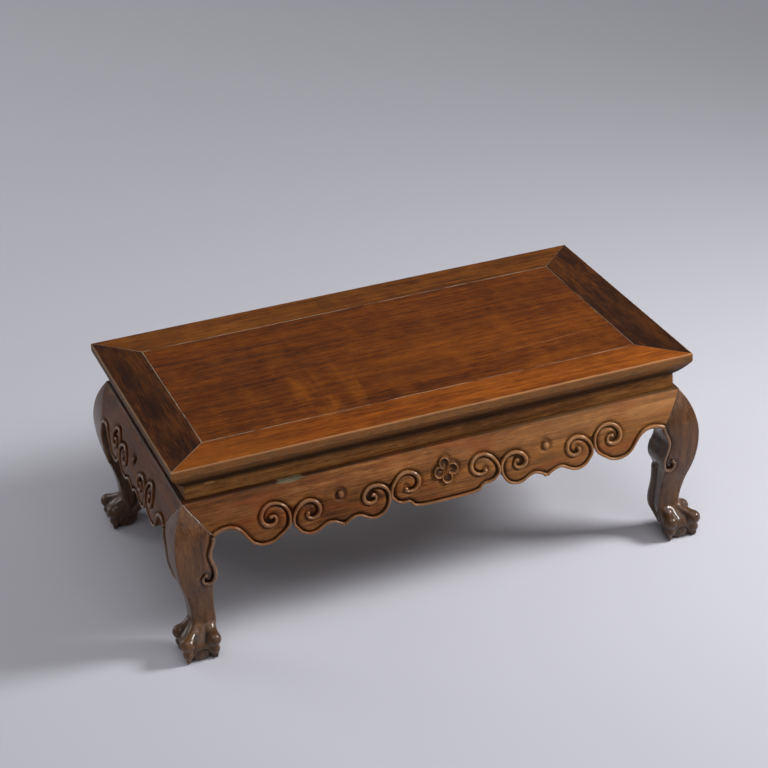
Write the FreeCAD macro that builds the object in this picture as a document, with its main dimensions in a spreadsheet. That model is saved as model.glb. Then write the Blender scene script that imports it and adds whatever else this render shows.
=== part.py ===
"""Low table with a framed top, a recessed waist, bulging lobed aprons and four S-curved legs on claw-and-ball feet.

Millimetres. +Z is up, +X runs along the table to its right end, -Y is the front.
The origin is the middle of the footprint, on the floor.

Long pieces are drawn in a frame of their own: x along the piece from its middle, y the inset from the top's
outer edge, z the height above the floor. A leg's x and y are both insets from the top's corner.
"""
import FreeCAD, Part
import math
import os
import Sketcher

SIZES = [
    # The whole table
    ("top_length", 750),
    ("top_width", 412),
    ("table_height", 293),
    # Top frame: a square edge band over an undercut
    ("frame_width", 60),
    ("frame_thickness", 34),
    ("edge_band", 12),
    ("edge_round", 1.5),
    ("undercut_inset", 18),
    ("mitre_tenon_inset", 24),
    ("mitre_tenon_width", 20),
    ("mitre_tenon_reach", 12),
    ("mitre_tenon_thickness", 10),
    ("mitre_tenon_drop", 16),
    # Floating panel, tongued into the frame
    ("panel_thickness", 14),
    ("panel_gap", 0.4),
    ("tongue_length", 7),
    ("tongue_thickness", 6),
    ("tongue_drop", 5),
    ("tongue_gap", 0.5),
    # Braces under the panel
    ("brace_place", 130),
    ("brace_width", 30),
    ("dovetail_mouth", 18),
    ("dovetail_root", 24),
    ("dovetail_depth", 5),
    ("brace_tenon_length", 14),
    ("brace_tenon_width", 20),
    ("brace_tenon_thickness", 10),
    ("brace_tenon_rise", 4),
    # Waist strips
    ("waist_height", 23),
    ("waist_inset", 20),
    ("waist_thickness", 10),
    ("waist_tongue_inset", 3),
    ("waist_tongue_thickness", 4),
    ("waist_tongue_height", 5),
    # The S-curve that legs and aprons share
    ("ledge_inset", 14),
    ("bulge_out", 8),
    ("bulge_drop", 68),
    ("sway_in", 10),
    ("sway_drop", 62.5),
    # Aprons
    ("mitre_run", 32),
    ("mitre_drop", 44),
    ("apron_depth", 79),
    ("apron_tenon_inset", 10),
    ("apron_tenon_thickness", 8),
    ("apron_tenon_reach", 9),
    ("apron_tenon_bottom", 7),
    ("apron_tenon_height", 19),
    # Legs
    ("leg_core", 60),
    ("knee_width", 49),
    ("calf_width", 40),
    ("ankle_width", 32),
    ("curl_out", 4.5),
    ("curl_height", 24),
    ("curl_drop", 76),
    ("leg_tenon_side", 7),
    ("leg_tenon_width", 9),
    ("leg_tenon_height", 15),
    ("leg_tenon_offset", 5),
    # Claw-and-ball feet
    ("foot_inset", 15),
    ("ball_radius", 20.5),
    ("ball_sink", 1.5),
    ("palm_radius", 24),
    ("palm_height", 31),
    ("toe_root_radius", 8),
    ("toe_root_out", 12),
    ("toe_root_height", 48),
    ("knuckle_radius", 9.5),
    ("knuckle_out", 27),
    ("knuckle_height", 26),
    ("claw_radius", 7.5),
    ("claw_out", 28),
    ("claw_height", 10),
    ("claw_tip_radius", 3.5),
    ("claw_tip_out", 31),
]

# How far curved runs swell: their height as a share of their chord.
QUARTER_ROUND_SHARE = 0.2071
UNDERCUT_SHARE = 0.03
CALF_SHARE = 0.01
CURL_FOOT_SHARE = 0.28
CURL_BACK_SHARE = 0.12
KNEE_SHARE = 0.06
# Where the palm stands between the ball's middle and the ankle's.
PALM_SHARE = 0.4

# Lower edge of half an apron, from its middle to the shoulder. Each row: share of the half span, share of the
# lobe depth below the arch, and the bulge of the curve to the next point (its height as a share of its chord).
FRONT_EDGE_SHARES = [
    (0.000, 0.96, 0.00),
    (0.147, 0.98, -0.12),
    (0.176, 0.70, 0.14),
    (0.222, 0.50, -0.16),
    (0.248, 0.04, -0.14),
    (0.270, 0.72, -0.22),
    (0.337, 0.96, 0.12),
    (0.401, 0.72, 0.08),
    (0.459, 1.00, 0.08),
    (0.518, 0.72, 0.10),
    (0.566, 0.95, -0.20),
    (0.636, 0.84, -0.16),
    (0.672, 0.16, -0.14),
    (0.705, 0.66, 0.00),
    (0.760, 0.94, -0.16),
    (0.836, 0.80, 0.03),
    (0.872, 0.26, 0.18),
    (0.922, 0.00, 0.00),
    (1.000, 0.00, 0.00),
]
SIDE_EDGE_SHARES = [
    (0.000, 1.00, 0.08),
    (0.118, 0.72, 0.10),
    (0.205, 0.95, -0.20),
    (0.335, 0.84, -0.16),
    (0.402, 0.16, -0.14),
    (0.460, 0.66, 0.00),
    (0.570, 0.97, -0.16),
    (0.715, 0.80, 0.03),
    (0.785, 0.26, 0.18),
    (0.880, 0.00, 0.00),
    (1.000, 0.00, 0.00),
]

doc = FreeCAD.newDocument("kang_table")
sheet = doc.addObject("Spreadsheet::Sheet", "Sizes")
for row, (alias, value) in enumerate(SIZES, start=1):
    sheet.set("A%d" % row, alias)
    sheet.set("B%d" % row, str(value))
    sheet.setAlias("B%d" % row, alias)
doc.recompute()


class Size:
    """A size worked out from the sheet: the text of its formula, and its value now."""

    def __init__(self, text, value):
        self.text = text
        self.value = float(value)

    def _join(self, other, sign, value, swapped=False):
        other_text = other.text if isinstance(other, Size) else repr(other)
        first, second = (other_text, self.text) if swapped else (self.text, other_text)
        return Size("(%s %s %s)" % (first, sign, second), value)

    def __add__(self, other):
        return self._join(other, "+", self.value + float(other))

    def __sub__(self, other):
        return self._join(other, "-", self.value - float(other))

    def __mul__(self, other):
        return self._join(other, "*", self.value * float(other))

    def __truediv__(self, other):
        return self._join(other, "/", self.value / float(other))

    def __radd__(self, other):
        return self._join(other, "+", float(other) + self.value, swapped=True)

    def __rmul__(self, other):
        return self._join(other, "*", float(other) * self.value, swapped=True)

    def __neg__(self):
        return Size("(0 - %s)" % self.text, -self.value)

    def __float__(self):
        return self.value


ZERO = Size("0", 0)


def root(size):
    """The square root of a size."""
    return Size("sqrt(%s)" % size.text, math.sqrt(size.value))


def bind(thing, **sizes):
    """Tie properties of an object to sizes."""
    for name, size in sizes.items():
        thing.setExpression(name, size.text)


S = {alias: Size("Sizes." + alias, value) for alias, value in SIZES}

TOP = S["table_height"]
UNDERSIDE = TOP - S["frame_thickness"]
LEDGE = UNDERSIDE - S["waist_height"]
WAIST_BACK = S["waist_inset"] + S["waist_thickness"]
BULGE_HEIGHT = LEDGE - S["bulge_drop"]
SWAY_HEIGHT = BULGE_HEIGHT - S["sway_drop"]
ANKLE_HEIGHT = SWAY_HEIGHT - S["sway_drop"]
SHOULDER = LEDGE - S["mitre_drop"]
MITRE_END = S["ledge_inset"] + S["mitre_run"]
SWAY_INSET = S["sway_in"] - S["bulge_out"]
ANKLE_INSET = SWAY_INSET + S["sway_in"]
APRON_BOTTOM = LEDGE - S["apron_depth"]
LOBE_DEPTH = SHOULDER - APRON_BOTTOM
OVERRUN = S["ledge_inset"]


def place_vertical_start(rise, run):
    """Radius of the arc that leaves its first point straight up or down and covers this run and rise."""
    return (rise * rise + run * run) / (2 * run)


def share_radius(chord, share):
    """Radius of the arc whose height is this share of its chord."""
    return chord * (1 / (8 * share) + share / 2)


def draw(sketch, corners):
    """Draw a closed outline and tie every corner and radius to the sizes; a second outline inside it is a hole.

    A corner is (x, y, bend): bend shapes the run to the next corner. It is zero for a straight run, a number for
    an arc of that height as a share of its chord (positive swells to the left of the way on), or a pair
    (radius, side) for an arc of a given radius."""
    first_edge = sketch.GeometryCount
    geometry = []
    radii = []
    for index, (x, y, bend) in enumerate(corners):
        end_x, end_y, _ = corners[(index + 1) % len(corners)]
        start = FreeCAD.Vector(float(x), float(y), 0)
        end = FreeCAD.Vector(float(end_x), float(end_y), 0)
        if not bend:
            geometry.append(Part.LineSegment(start, end))
            radii.append(None)
            continue
        run = end_x - x
        rise = end_y - y
        chord = root(run * run + rise * rise)
        if isinstance(bend, tuple):
            radius, side = bend
            height = radius.value - math.sqrt(radius.value ** 2 - chord.value ** 2 / 4)
        else:
            radius = share_radius(chord, abs(bend))
            side = math.copysign(1, bend)
            height = abs(bend) * chord.value
        across = FreeCAD.Vector(start.y - end.y, end.x - start.x, 0).normalize()
        middle = (start + end) / 2 + across * height * side
        geometry.append(Part.Arc(start, middle, end))
        radii.append(radius)
    sketch.addGeometry(geometry, False)
    ends = [ends_in_order(sketch, first_edge + index, corner) for index, corner in enumerate(corners)]
    for index, (x, y, _) in enumerate(corners):
        edge = first_edge + index
        following = (index + 1) % len(corners)
        sketch.addConstraint(Sketcher.Constraint("Coincident", edge, ends[index][1], first_edge + following,
                                                 ends[following][0]))
        for kind, place in (("DistanceX", x), ("DistanceY", y)):
            number = sketch.addConstraint(Sketcher.Constraint(kind, -1, 1, edge, ends[index][0], place.value))
            sketch.setExpression("Constraints[%d]" % number, place.text)
        if radii[index] is not None:
            number = sketch.addConstraint(Sketcher.Constraint("Radius", edge, radii[index].value))
            sketch.setExpression("Constraints[%d]" % number, radii[index].text)


def ends_in_order(sketch, edge, corner):
    """Which end of a drawn edge, 1 or 2, is at its corner, and which is at the next: arcs always turn one way."""
    place = FreeCAD.Vector(float(corner[0]), float(corner[1]), 0)
    to_start, to_end = [sketch.getPoint(edge, end).distanceToPoint(place) for end in (1, 2)]
    return (1, 2) if to_start < to_end else (2, 1)


def new_body(label):
    body = doc.addObject("PartDesign::Body", label)
    body.Label = label
    return body


def shape_step(body, kind, name, plane, corners, start, reach):
    """Pad or pocket an outline drawn on a plane of the body, from start on, by reach, along the plane's axis."""
    sketch = body.newObject("Sketcher::SketchObject", name + "_outline")
    origin = [feature for feature in body.Origin.OriginFeatures if feature.Role == plane + "_Plane"][0]
    sketch.AttachmentSupport = [(origin, "")]
    sketch.MapMode = "FlatFace"
    offset = -start if plane == "XZ" else start
    sketch.setExpression("AttachmentOffset.Base.z", offset.text)
    draw(sketch, corners)
    step = body.newObject("PartDesign::" + kind, name)
    step.Profile = sketch
    step.Length = reach.value
    bind(step, Length=reach)
    step.Reversed = (plane == "XZ") == (kind == "Pad")
    body.Tip = step
    return step


def mirror_ends(body, steps):
    """Repeat what was done at one end of a piece at its other end."""
    mirrored = body.newObject("PartDesign::Mirrored", body.Name + "_ends")
    mirrored.Originals = steps
    origin = [feature for feature in body.Origin.OriginFeatures if feature.Role == "YZ_Plane"][0]
    mirrored.MirrorPlane = (origin, [""])
    body.Tip = mirrored
    doc.recompute()
    return mirrored


def rectangle(x_low, x_high, y_low, y_high):
    return [(x_low, y_low, 0), (x_high, y_low, 0), (x_high, y_high, 0), (x_low, y_high, 0)]


SIDES = {
    "front": (0, ZERO, -S["top_width"] / 2),
    "back": (180, ZERO, S["top_width"] / 2),
    "left": (-90, -S["top_length"] / 2, ZERO),
    "right": (90, S["top_length"] / 2, ZERO),
}


def set_on_side(thing, side):
    """Turn a long piece to its side of the table and carry it to the top's edge there."""
    turn, x, y = SIDES[side]
    thing.Placement = FreeCAD.Placement(FreeCAD.Vector(x.value, y.value, 0), FreeCAD.Rotation(turn, 0, 0))
    thing.setExpression("Placement.Base.x", x.text)
    thing.setExpression("Placement.Base.y", y.text)


def half_length(side):
    return (S["top_length"] if side in ("front", "back") else S["top_width"]) / 2


def mitre_end(half, width):
    """The waste beyond a 45 degree mitre at the far end of a long piece, seen from above."""
    return [(half - width - OVERRUN, width + OVERRUN, 0), (half + OVERRUN, -OVERRUN, 0),
            (half + OVERRUN, width + OVERRUN, 0)]


MITRE_TENON_TOP = TOP - S["mitre_tenon_drop"]
MITRE_TENON_BOTTOM = MITRE_TENON_TOP - S["mitre_tenon_thickness"]
TONGUE_TOP = TOP - S["tongue_drop"]
TONGUE_BOTTOM = TONGUE_TOP - S["tongue_thickness"]
WAIST_TONGUE_FRONT = S["waist_inset"] + S["waist_tongue_inset"]
WAIST_TONGUE_BACK = WAIST_TONGUE_FRONT + S["waist_tongue_thickness"]
WAIST_TONGUE_TOP = UNDERSIDE + S["waist_tongue_height"]
LEG_TENON_NEAR = WAIST_BACK + S["leg_tenon_offset"]
LEG_TENON_FAR = LEG_TENON_NEAR + S["leg_tenon_side"]
LEG_TENON_START = LEG_TENON_FAR + S["leg_tenon_offset"] / 2
LEG_TENON_END = LEG_TENON_START + S["leg_tenon_width"]


def frame_member(side):
    """A member of the top frame: grooved for the panel and the waist, undercut outside, mitred at both ends."""
    body = new_body("top_frame_" + side)
    half = half_length(side)
    groove = S["frame_width"] - S["tongue_length"]
    section = [
        (ZERO, TOP - S["edge_band"], 0), (ZERO, TOP - S["edge_round"], QUARTER_ROUND_SHARE), (S["edge_round"], TOP, 0),
        (S["frame_width"], TOP, 0), (S["frame_width"], TONGUE_TOP, 0), (groove, TONGUE_TOP, 0),
        (groove, TONGUE_BOTTOM, 0), (S["frame_width"], TONGUE_BOTTOM, 0), (S["frame_width"], UNDERSIDE, 0),
        (WAIST_TONGUE_BACK, UNDERSIDE, 0), (WAIST_TONGUE_BACK, WAIST_TONGUE_TOP, 0),
        (WAIST_TONGUE_FRONT, WAIST_TONGUE_TOP, 0), (WAIST_TONGUE_FRONT, UNDERSIDE, 0),
        (S["undercut_inset"], UNDERSIDE, UNDERCUT_SHARE),
    ]
    shape_step(body, "Pad", side + "_rail", "YZ", section, -half, half * 2)
    doc.recompute()
    steps = [shape_step(body, "Pocket", side + "_mitre", "XY", mitre_end(half, S["frame_width"]),
                        UNDERSIDE - OVERRUN, S["frame_thickness"] + OVERRUN * 2)]
    tenon_near = S["mitre_tenon_inset"]
    tenon_far = tenon_near + S["mitre_tenon_width"]
    reach = S["mitre_tenon_reach"]
    if side in ("front", "back"):
        tenon = [(half - tenon_far - OVERRUN, tenon_near, 0), (half - reach, tenon_near, 0),
                 (half - reach, tenon_far, 0), (half - tenon_far - OVERRUN, tenon_far, 0)]
        steps.append(shape_step(body, "Pad", side + "_mitre_tenon", "XY", tenon, MITRE_TENON_BOTTOM,
                                S["mitre_tenon_thickness"]))
        steps.append(shape_step(body, "Pocket", side + "_brace_mortise", "XY",
                                rectangle(S["brace_place"] - S["brace_tenon_width"] / 2,
                                          S["brace_place"] + S["brace_tenon_width"] / 2,
                                          S["frame_width"] - S["brace_tenon_length"], S["frame_width"] + OVERRUN),
                                UNDERSIDE + S["brace_tenon_rise"], S["brace_tenon_thickness"]))
    else:
        mortise = rectangle(half - tenon_far, half - tenon_near, reach, tenon_far + OVERRUN)
        steps.append(shape_step(body, "Pocket", side + "_mitre_mortise", "XY", mortise, MITRE_TENON_BOTTOM,
                                S["mitre_tenon_thickness"]))
    near, far, start, end = LEG_TENON_NEAR, LEG_TENON_FAR, LEG_TENON_START, LEG_TENON_END
    steps.append(shape_step(body, "Pocket", side + "_leg_mortise", "XY",
                            rectangle(half - end, half - start, near, far), UNDERSIDE, S["leg_tenon_height"]))
    doc.recompute()
    mirror_ends(body, steps)
    set_on_side(body, side)
    return body


def top_panel():
    """The floating panel, tongued all round, with a dovetail slot for each brace across its underside."""
    body = new_body("top_panel")
    bottom = TOP - S["panel_thickness"]
    inside = S["frame_width"] + S["panel_gap"]
    tongue = S["frame_width"] - S["tongue_length"] + S["tongue_gap"]
    half_x, half_y = S["top_length"] / 2 - inside, S["top_width"] / 2 - inside
    reach_x, reach_y = S["top_length"] / 2 - tongue, S["top_width"] / 2 - tongue
    shape_step(body, "Pad", "panel_board", "XY", rectangle(-half_x, half_x, -half_y, half_y), bottom,
               S["panel_thickness"])
    shape_step(body, "Pad", "panel_tongue", "XY", rectangle(-reach_x, reach_x, -reach_y, reach_y),
               TONGUE_BOTTOM, S["tongue_thickness"])
    doc.recompute()
    slot = shape_step(body, "Pocket", "panel_slot", "XZ", dovetail(S["brace_place"]), -reach_y - OVERRUN,
                      (reach_y + OVERRUN) * 2)
    mirror_ends(body, [slot])
    return body


def dovetail(place):
    """Section of a brace's head, seen from the front: narrow at the panel's underside, wide at its root."""
    bottom = TOP - S["panel_thickness"]
    mouth, root_half = S["dovetail_mouth"] / 2, S["dovetail_root"] / 2
    return [(place - mouth, bottom, 0), (place + mouth, bottom, 0),
            (place + root_half, bottom + S["dovetail_depth"], 0),
            (place - root_half, bottom + S["dovetail_depth"], 0)]


def panel_brace(side, sign):
    """A brace across the underside, its dovetailed head in the panel and its tenons in the long members."""
    body = new_body("panel_brace_" + side)
    place = S["brace_place"] * sign
    bottom = TOP - S["panel_thickness"]
    half = S["top_width"] / 2 - S["frame_width"]
    bar = rectangle(place - S["brace_width"] / 2, place + S["brace_width"] / 2, UNDERSIDE, bottom)
    shape_step(body, "Pad", side + "_brace_bar", "XZ", bar, -half, half * 2)
    shape_step(body, "Pad", side + "_brace_head", "XZ", dovetail(place), -half, half * 2)
    rise = UNDERSIDE + S["brace_tenon_rise"]
    tenon = rectangle(place - S["brace_tenon_width"] / 2, place + S["brace_tenon_width"] / 2, rise,
                      rise + S["brace_tenon_thickness"])
    reach = half + S["brace_tenon_length"]
    shape_step(body, "Pad", side + "_brace_tenons", "XZ", tenon, -reach, reach * 2)
    doc.recompute()
    return body


def waist_strip(side):
    """The recessed strip between the frame and the apron, tongued into the frame and mitred at its ends."""
    body = new_body("waist_" + side)
    half = half_length(side) - S["waist_inset"]
    section = [
        (S["waist_inset"], LEDGE, 0), (WAIST_BACK, LEDGE, 0), (WAIST_BACK, UNDERSIDE, 0),
        (WAIST_TONGUE_BACK, UNDERSIDE, 0), (WAIST_TONGUE_BACK, WAIST_TONGUE_TOP, 0),
        (WAIST_TONGUE_FRONT, WAIST_TONGUE_TOP, 0), (WAIST_TONGUE_FRONT, UNDERSIDE, 0),
        (S["waist_inset"], UNDERSIDE, 0),
    ]
    shape_step(body, "Pad", side + "_strip", "YZ", section, -half, half * 2)
    doc.recompute()
    mitre = shape_step(body, "Pocket", side + "_strip_mitre", "XY",
                       mitre_end(half_length(side), WAIST_BACK), LEDGE - OVERRUN,
                       S["waist_height"] + S["waist_tongue_height"] + OVERRUN * 2)
    mirror_ends(body, [mitre])
    set_on_side(body, side)
    return body


def s_curve_down():
    """The outer curve that legs and aprons share, from the ledge over the bulge to the sway."""
    swell = place_vertical_start(S["bulge_drop"], S["ledge_inset"] + S["bulge_out"])
    sway = place_vertical_start(S["sway_drop"], S["sway_in"])
    return [(S["ledge_inset"], LEDGE, (swell, -1)), (-S["bulge_out"], BULGE_HEIGHT, (sway, -1)),
            (SWAY_INSET, SWAY_HEIGHT, 0)], sway


def mitre_x(height):
    """Inset of the shoulder's mitre at a height."""
    return S["ledge_inset"] + (LEDGE - height) * S["mitre_run"] / S["mitre_drop"]


def apron(side, edge_shares):
    """A bulging apron with a flat back: lobed lower edge, ends mitred to the leg and, behind it, to the next
    apron, and an end tenon in each leg."""
    body = new_body("apron_" + side)
    half = half_length(side)
    outer, _ = s_curve_down()
    section = outer + [(WAIST_BACK, SWAY_HEIGHT, 0), (WAIST_BACK, LEDGE, 0)]
    span = half - S["ledge_inset"]
    shape_step(body, "Pad", side + "_bulge", "YZ", section, -span, span * 2)
    doc.recompute()
    out = -S["bulge_out"] - OVERRUN
    through = WAIST_BACK + S["bulge_out"] + OVERRUN * 2
    shoulder = [(half - S["ledge_inset"], LEDGE, 0), (half - MITRE_END, SHOULDER, 0),
                (half - MITRE_END, SHOULDER - OVERRUN, 0), (half + OVERRUN, SHOULDER - OVERRUN, 0),
                (half + OVERRUN, LEDGE + OVERRUN, 0), (half - S["ledge_inset"], LEDGE + OVERRUN, 0)]
    steps = [shape_step(body, "Pocket", side + "_shoulder", "XZ", shoulder, out, through),
             shape_step(body, "Pocket", side + "_corner", "XY", mitre_end(half, WAIST_BACK), SHOULDER,
                        S["mitre_drop"] + OVERRUN)]
    reach = half - MITRE_END
    lobes = []
    for along_share, drop_share, bulge_share in edge_shares:
        lobes.append((reach * along_share, SHOULDER - LOBE_DEPTH * drop_share, bulge_share))
    lobes[-1] = (half, lobes[-1][1], 0)
    lobes += [(half, SWAY_HEIGHT - OVERRUN, 0), (ZERO, SWAY_HEIGHT - OVERRUN, 0)]
    steps.append(shape_step(body, "Pocket", side + "_lobes", "XZ", lobes, out, through))
    low = SHOULDER + S["apron_tenon_bottom"]
    high = low + S["apron_tenon_height"]
    inward = S["apron_tenon_reach"]
    tenon = [(half - mitre_x(low) - inward, low, 0), (half - mitre_x(low) + inward, low, 0),
             (half - mitre_x(high) + inward, high, 0), (half - mitre_x(high) - inward, high, 0)]
    steps.append(shape_step(body, "Pad", side + "_end_tenon", "XZ", tenon, S["apron_tenon_inset"],
                            S["apron_tenon_thickness"]))
    doc.recompute()
    mirror_ends(body, steps)
    set_on_side(body, side)
    return body


def leg_profile():
    """One sawn face of a leg, from its top down the outer curve and up the inner one."""
    outer, sway = s_curve_down()
    outer[-1] = (SWAY_INSET, SWAY_HEIGHT, (sway, 1))
    curl_bottom = SHOULDER - S["curl_drop"]
    curl_top = curl_bottom + S["curl_height"] * 2
    waist_x = S["knee_width"] - S["bulge_out"]
    calf_x = ANKLE_INSET + S["ankle_width"]
    inner = [
        (ANKLE_INSET, ANKLE_HEIGHT, 0),
        (ANKLE_INSET, S["palm_height"], 0),
        (calf_x, S["palm_height"], 0),
        (calf_x, ANKLE_HEIGHT, CALF_SHARE),
        (SWAY_INSET + S["calf_width"], curl_bottom, -CURL_FOOT_SHARE),
        (waist_x + S["curl_out"], curl_bottom + S["curl_height"] / 2, -CURL_BACK_SHARE),
        (waist_x, curl_top, KNEE_SHARE),
        (MITRE_END, SHOULDER, 0),
        (S["leg_core"], SHOULDER, 0),
        (S["leg_core"], UNDERSIDE, 0),
        (WAIST_BACK, UNDERSIDE, 0),
        (WAIST_BACK, LEDGE, 0),
    ]
    return outer + inner


def leg_shaft(name):
    """A leg without its foot: sawn to the same profile from two faces, shouldered for both aprons.

    The second cut takes away a slab that has the profile as a hole."""
    body = new_body(name + "_shaft")
    profile = leg_profile()
    block = S["leg_core"] + S["bulge_out"] + OVERRUN * 2
    out = -S["bulge_out"] - OVERRUN
    shape_step(body, "Pad", name + "_first_face", "XZ", profile, out, block)
    doc.recompute()
    waste = rectangle(out - OVERRUN, S["leg_core"] + OVERRUN * 2, ZERO, TOP)
    sawn = shape_step(body, "Pocket", name + "_second_face", "YZ", waste, out, block)
    draw(sawn.Profile[0], profile)
    low = SHOULDER + S["apron_tenon_bottom"]
    high = low + S["apron_tenon_height"]
    inward = S["apron_tenon_reach"]
    recess = [(S["ledge_inset"], LEDGE, 0), (MITRE_END, SHOULDER, 0), (S["leg_core"] + OVERRUN, SHOULDER, 0),
              (S["leg_core"] + OVERRUN, LEDGE, 0)]
    mortise = [(mitre_x(low) - inward, low, 0), (mitre_x(low) + OVERRUN, low, 0),
               (mitre_x(high) + OVERRUN, high, 0), (mitre_x(high) - inward, high, 0)]
    for plane in ("XZ", "YZ"):
        shape_step(body, "Pocket", name + "_recess_" + plane, plane, recess, out, WAIST_BACK - out)
        shape_step(body, "Pocket", name + "_mortise_" + plane, plane, mortise, S["apron_tenon_inset"],
                   S["apron_tenon_thickness"])
    near, far, start, end = LEG_TENON_NEAR, LEG_TENON_FAR, LEG_TENON_START, LEG_TENON_END
    shape_step(body, "Pad", name + "_long_tenon", "XY", rectangle(start, end, near, far), UNDERSIDE,
               S["leg_tenon_height"])
    shape_step(body, "Pad", name + "_short_tenon", "XY", rectangle(near, far, start, end), UNDERSIDE,
               S["leg_tenon_height"])
    doc.recompute()
    return body


def ball(name, radius, x, y, z):
    sphere = doc.addObject("Part::Sphere", name)
    bind(sphere, Radius=radius)
    sphere.setExpression("Placement.Base.x", x.text)
    sphere.setExpression("Placement.Base.y", y.text)
    sphere.setExpression("Placement.Base.z", z.text)
    return sphere


def limb(name, start, end, start_radius, end_radius):
    """A tapering length of toe between two points."""
    steps = [b - a for a, b in zip(start, end)]
    height = root(steps[0] * steps[0] + steps[1] * steps[1] + steps[2] * steps[2])
    cone = doc.addObject("Part::Cone", name)
    bind(cone, Radius1=start_radius, Radius2=end_radius, Height=height)
    way = FreeCAD.Vector(*[step.value for step in steps])
    turn = FreeCAD.Rotation(FreeCAD.Vector(0, 0, 1), way)
    cone.Placement = FreeCAD.Placement(FreeCAD.Vector(*[place.value for place in start]), turn)
    return cone


def foot(name):
    """Four toes gripping a ball: each leaves a corner of the ankle, bends at the knuckle and ends in a claw."""
    centre = S["foot_inset"]
    ankle = ANKLE_INSET + S["ankle_width"] / 2
    palm = centre + (ankle - centre) * PALM_SHARE
    pieces = [ball(name + "_ball", S["ball_radius"], centre, centre, S["ball_radius"] - S["ball_sink"]),
              ball(name + "_palm", S["palm_radius"], palm, palm, S["palm_height"])]
    diagonal = 1 / math.sqrt(2)
    toes = [(-1, -1), (1, -1), (-1, 1), (1, 1)]
    for number, (along_x, along_y) in enumerate(toes, start=1):
        def reach(middle, out, height):
            return (middle + out * (along_x * diagonal), middle + out * (along_y * diagonal), height)

        toe_root = reach(ankle, S["toe_root_out"], S["toe_root_height"])
        knuckle = reach(centre, S["knuckle_out"], S["knuckle_height"])
        claw = reach(centre, S["claw_out"], S["claw_height"])
        tip = reach(centre, S["claw_tip_out"], S["claw_tip_radius"])
        toe = "%s_toe_%d" % (name, number)
        pieces.append(limb(toe + "_upper", toe_root, knuckle, S["toe_root_radius"], S["knuckle_radius"]))
        pieces.append(ball(toe + "_knuckle", S["knuckle_radius"], *knuckle))
        pieces.append(limb(toe + "_lower", knuckle, claw, S["claw_radius"], S["claw_radius"]))
        pieces.append(ball(toe + "_claw", S["claw_radius"], *claw))
        pieces.append(limb(toe + "_tip", claw, tip, S["claw_radius"], S["claw_tip_radius"]))
        pieces.append(ball(toe + "_point", S["claw_tip_radius"], *tip))
    whole = doc.addObject("Part::MultiFuse", name + "_foot_whole")
    whole.Shapes = pieces
    floor = doc.addObject("Part::Box", name + "_floor_cut")
    width = S["leg_core"] * 3
    bind(floor, Length=width, Width=width, Height=S["leg_core"])
    floor.setExpression("Placement.Base.x", (-width / 2).text)
    floor.setExpression("Placement.Base.y", (-width / 2).text)
    floor.setExpression("Placement.Base.z", (-S["leg_core"]).text)
    flat = doc.addObject("Part::Cut", name + "_foot")
    flat.Base = whole
    flat.Tool = floor
    return flat


CORNERS = {
    "front_left": (0, -1, -1),
    "front_right": (90, 1, -1),
    "back_right": (180, 1, 1),
    "back_left": (-90, -1, 1),
}


def leg(corner):
    """A leg and its claw-and-ball foot in one piece, turned to its corner."""
    turn, sign_x, sign_y = CORNERS[corner]
    name = "leg_" + corner
    shaft = leg_shaft(name)
    whole = doc.addObject("Part::Fuse", name)
    whole.Label = name
    whole.Base = shaft
    whole.Tool = foot(name)
    x, y = S["top_length"] / 2 * sign_x, S["top_width"] / 2 * sign_y
    whole.Placement = FreeCAD.Placement(FreeCAD.Vector(x.value, y.value, 0), FreeCAD.Rotation(turn, 0, 0))
    whole.setExpression("Placement.Base.x", x.text)
    whole.setExpression("Placement.Base.y", y.text)
    return whole


def build():
    pieces = [frame_member(side) for side in SIDES]
    pieces.append(top_panel())
    pieces += [panel_brace("left", -1), panel_brace("right", 1)]
    pieces += [waist_strip(side) for side in SIDES]
    for side in SIDES:
        pieces.append(apron(side, FRONT_EDGE_SHARES if side in ("front", "back") else SIDE_EDGE_SHARES))
    pieces += [leg(corner) for corner in CORNERS]
    doc.recompute()
    return pieces


def check(pieces):
    """Stop if an object failed to recompute or a piece is empty, broken or more than one solid."""
    for thing in doc.Objects:
        if {"Invalid", "Error"} & set(thing.State):
            raise RuntimeError("%s did not recompute: %s" % (thing.Name, thing.State))
    for piece in pieces:
        shape = piece.Shape
        if shape.isNull() or not shape.isValid() or len(shape.Solids) != 1:
            raise RuntimeError("%s is not one valid solid" % piece.Label)


pieces = build()
check(pieces)
os.makedirs("parts", exist_ok=True)
for piece in pieces:
    piece.Shape.exportStep("parts/%s.step" % piece.Label)
    box = piece.Shape.BoundBox
    print("%-20s volume %10.0f  x %7.1f %7.1f  y %7.1f %7.1f  z %6.1f %6.1f" % (
        piece.Label, piece.Shape.Volume, box.XMin, box.XMax, box.YMin, box.YMax, box.ZMin, box.ZMax))
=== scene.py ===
# %% [markdown]
# # A low table, dressed from its measured frame
#
# A low table for a platform bed: a framed top with a floating panel, a recessed waist, bulging aprons with
# carved scrolls, and four S-curved legs that end in a claw gripping a ball. The solids come in measured.
# This lesson gives them wood, and puts surfaces fine enough for carving in place of aprons and legs.

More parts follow.
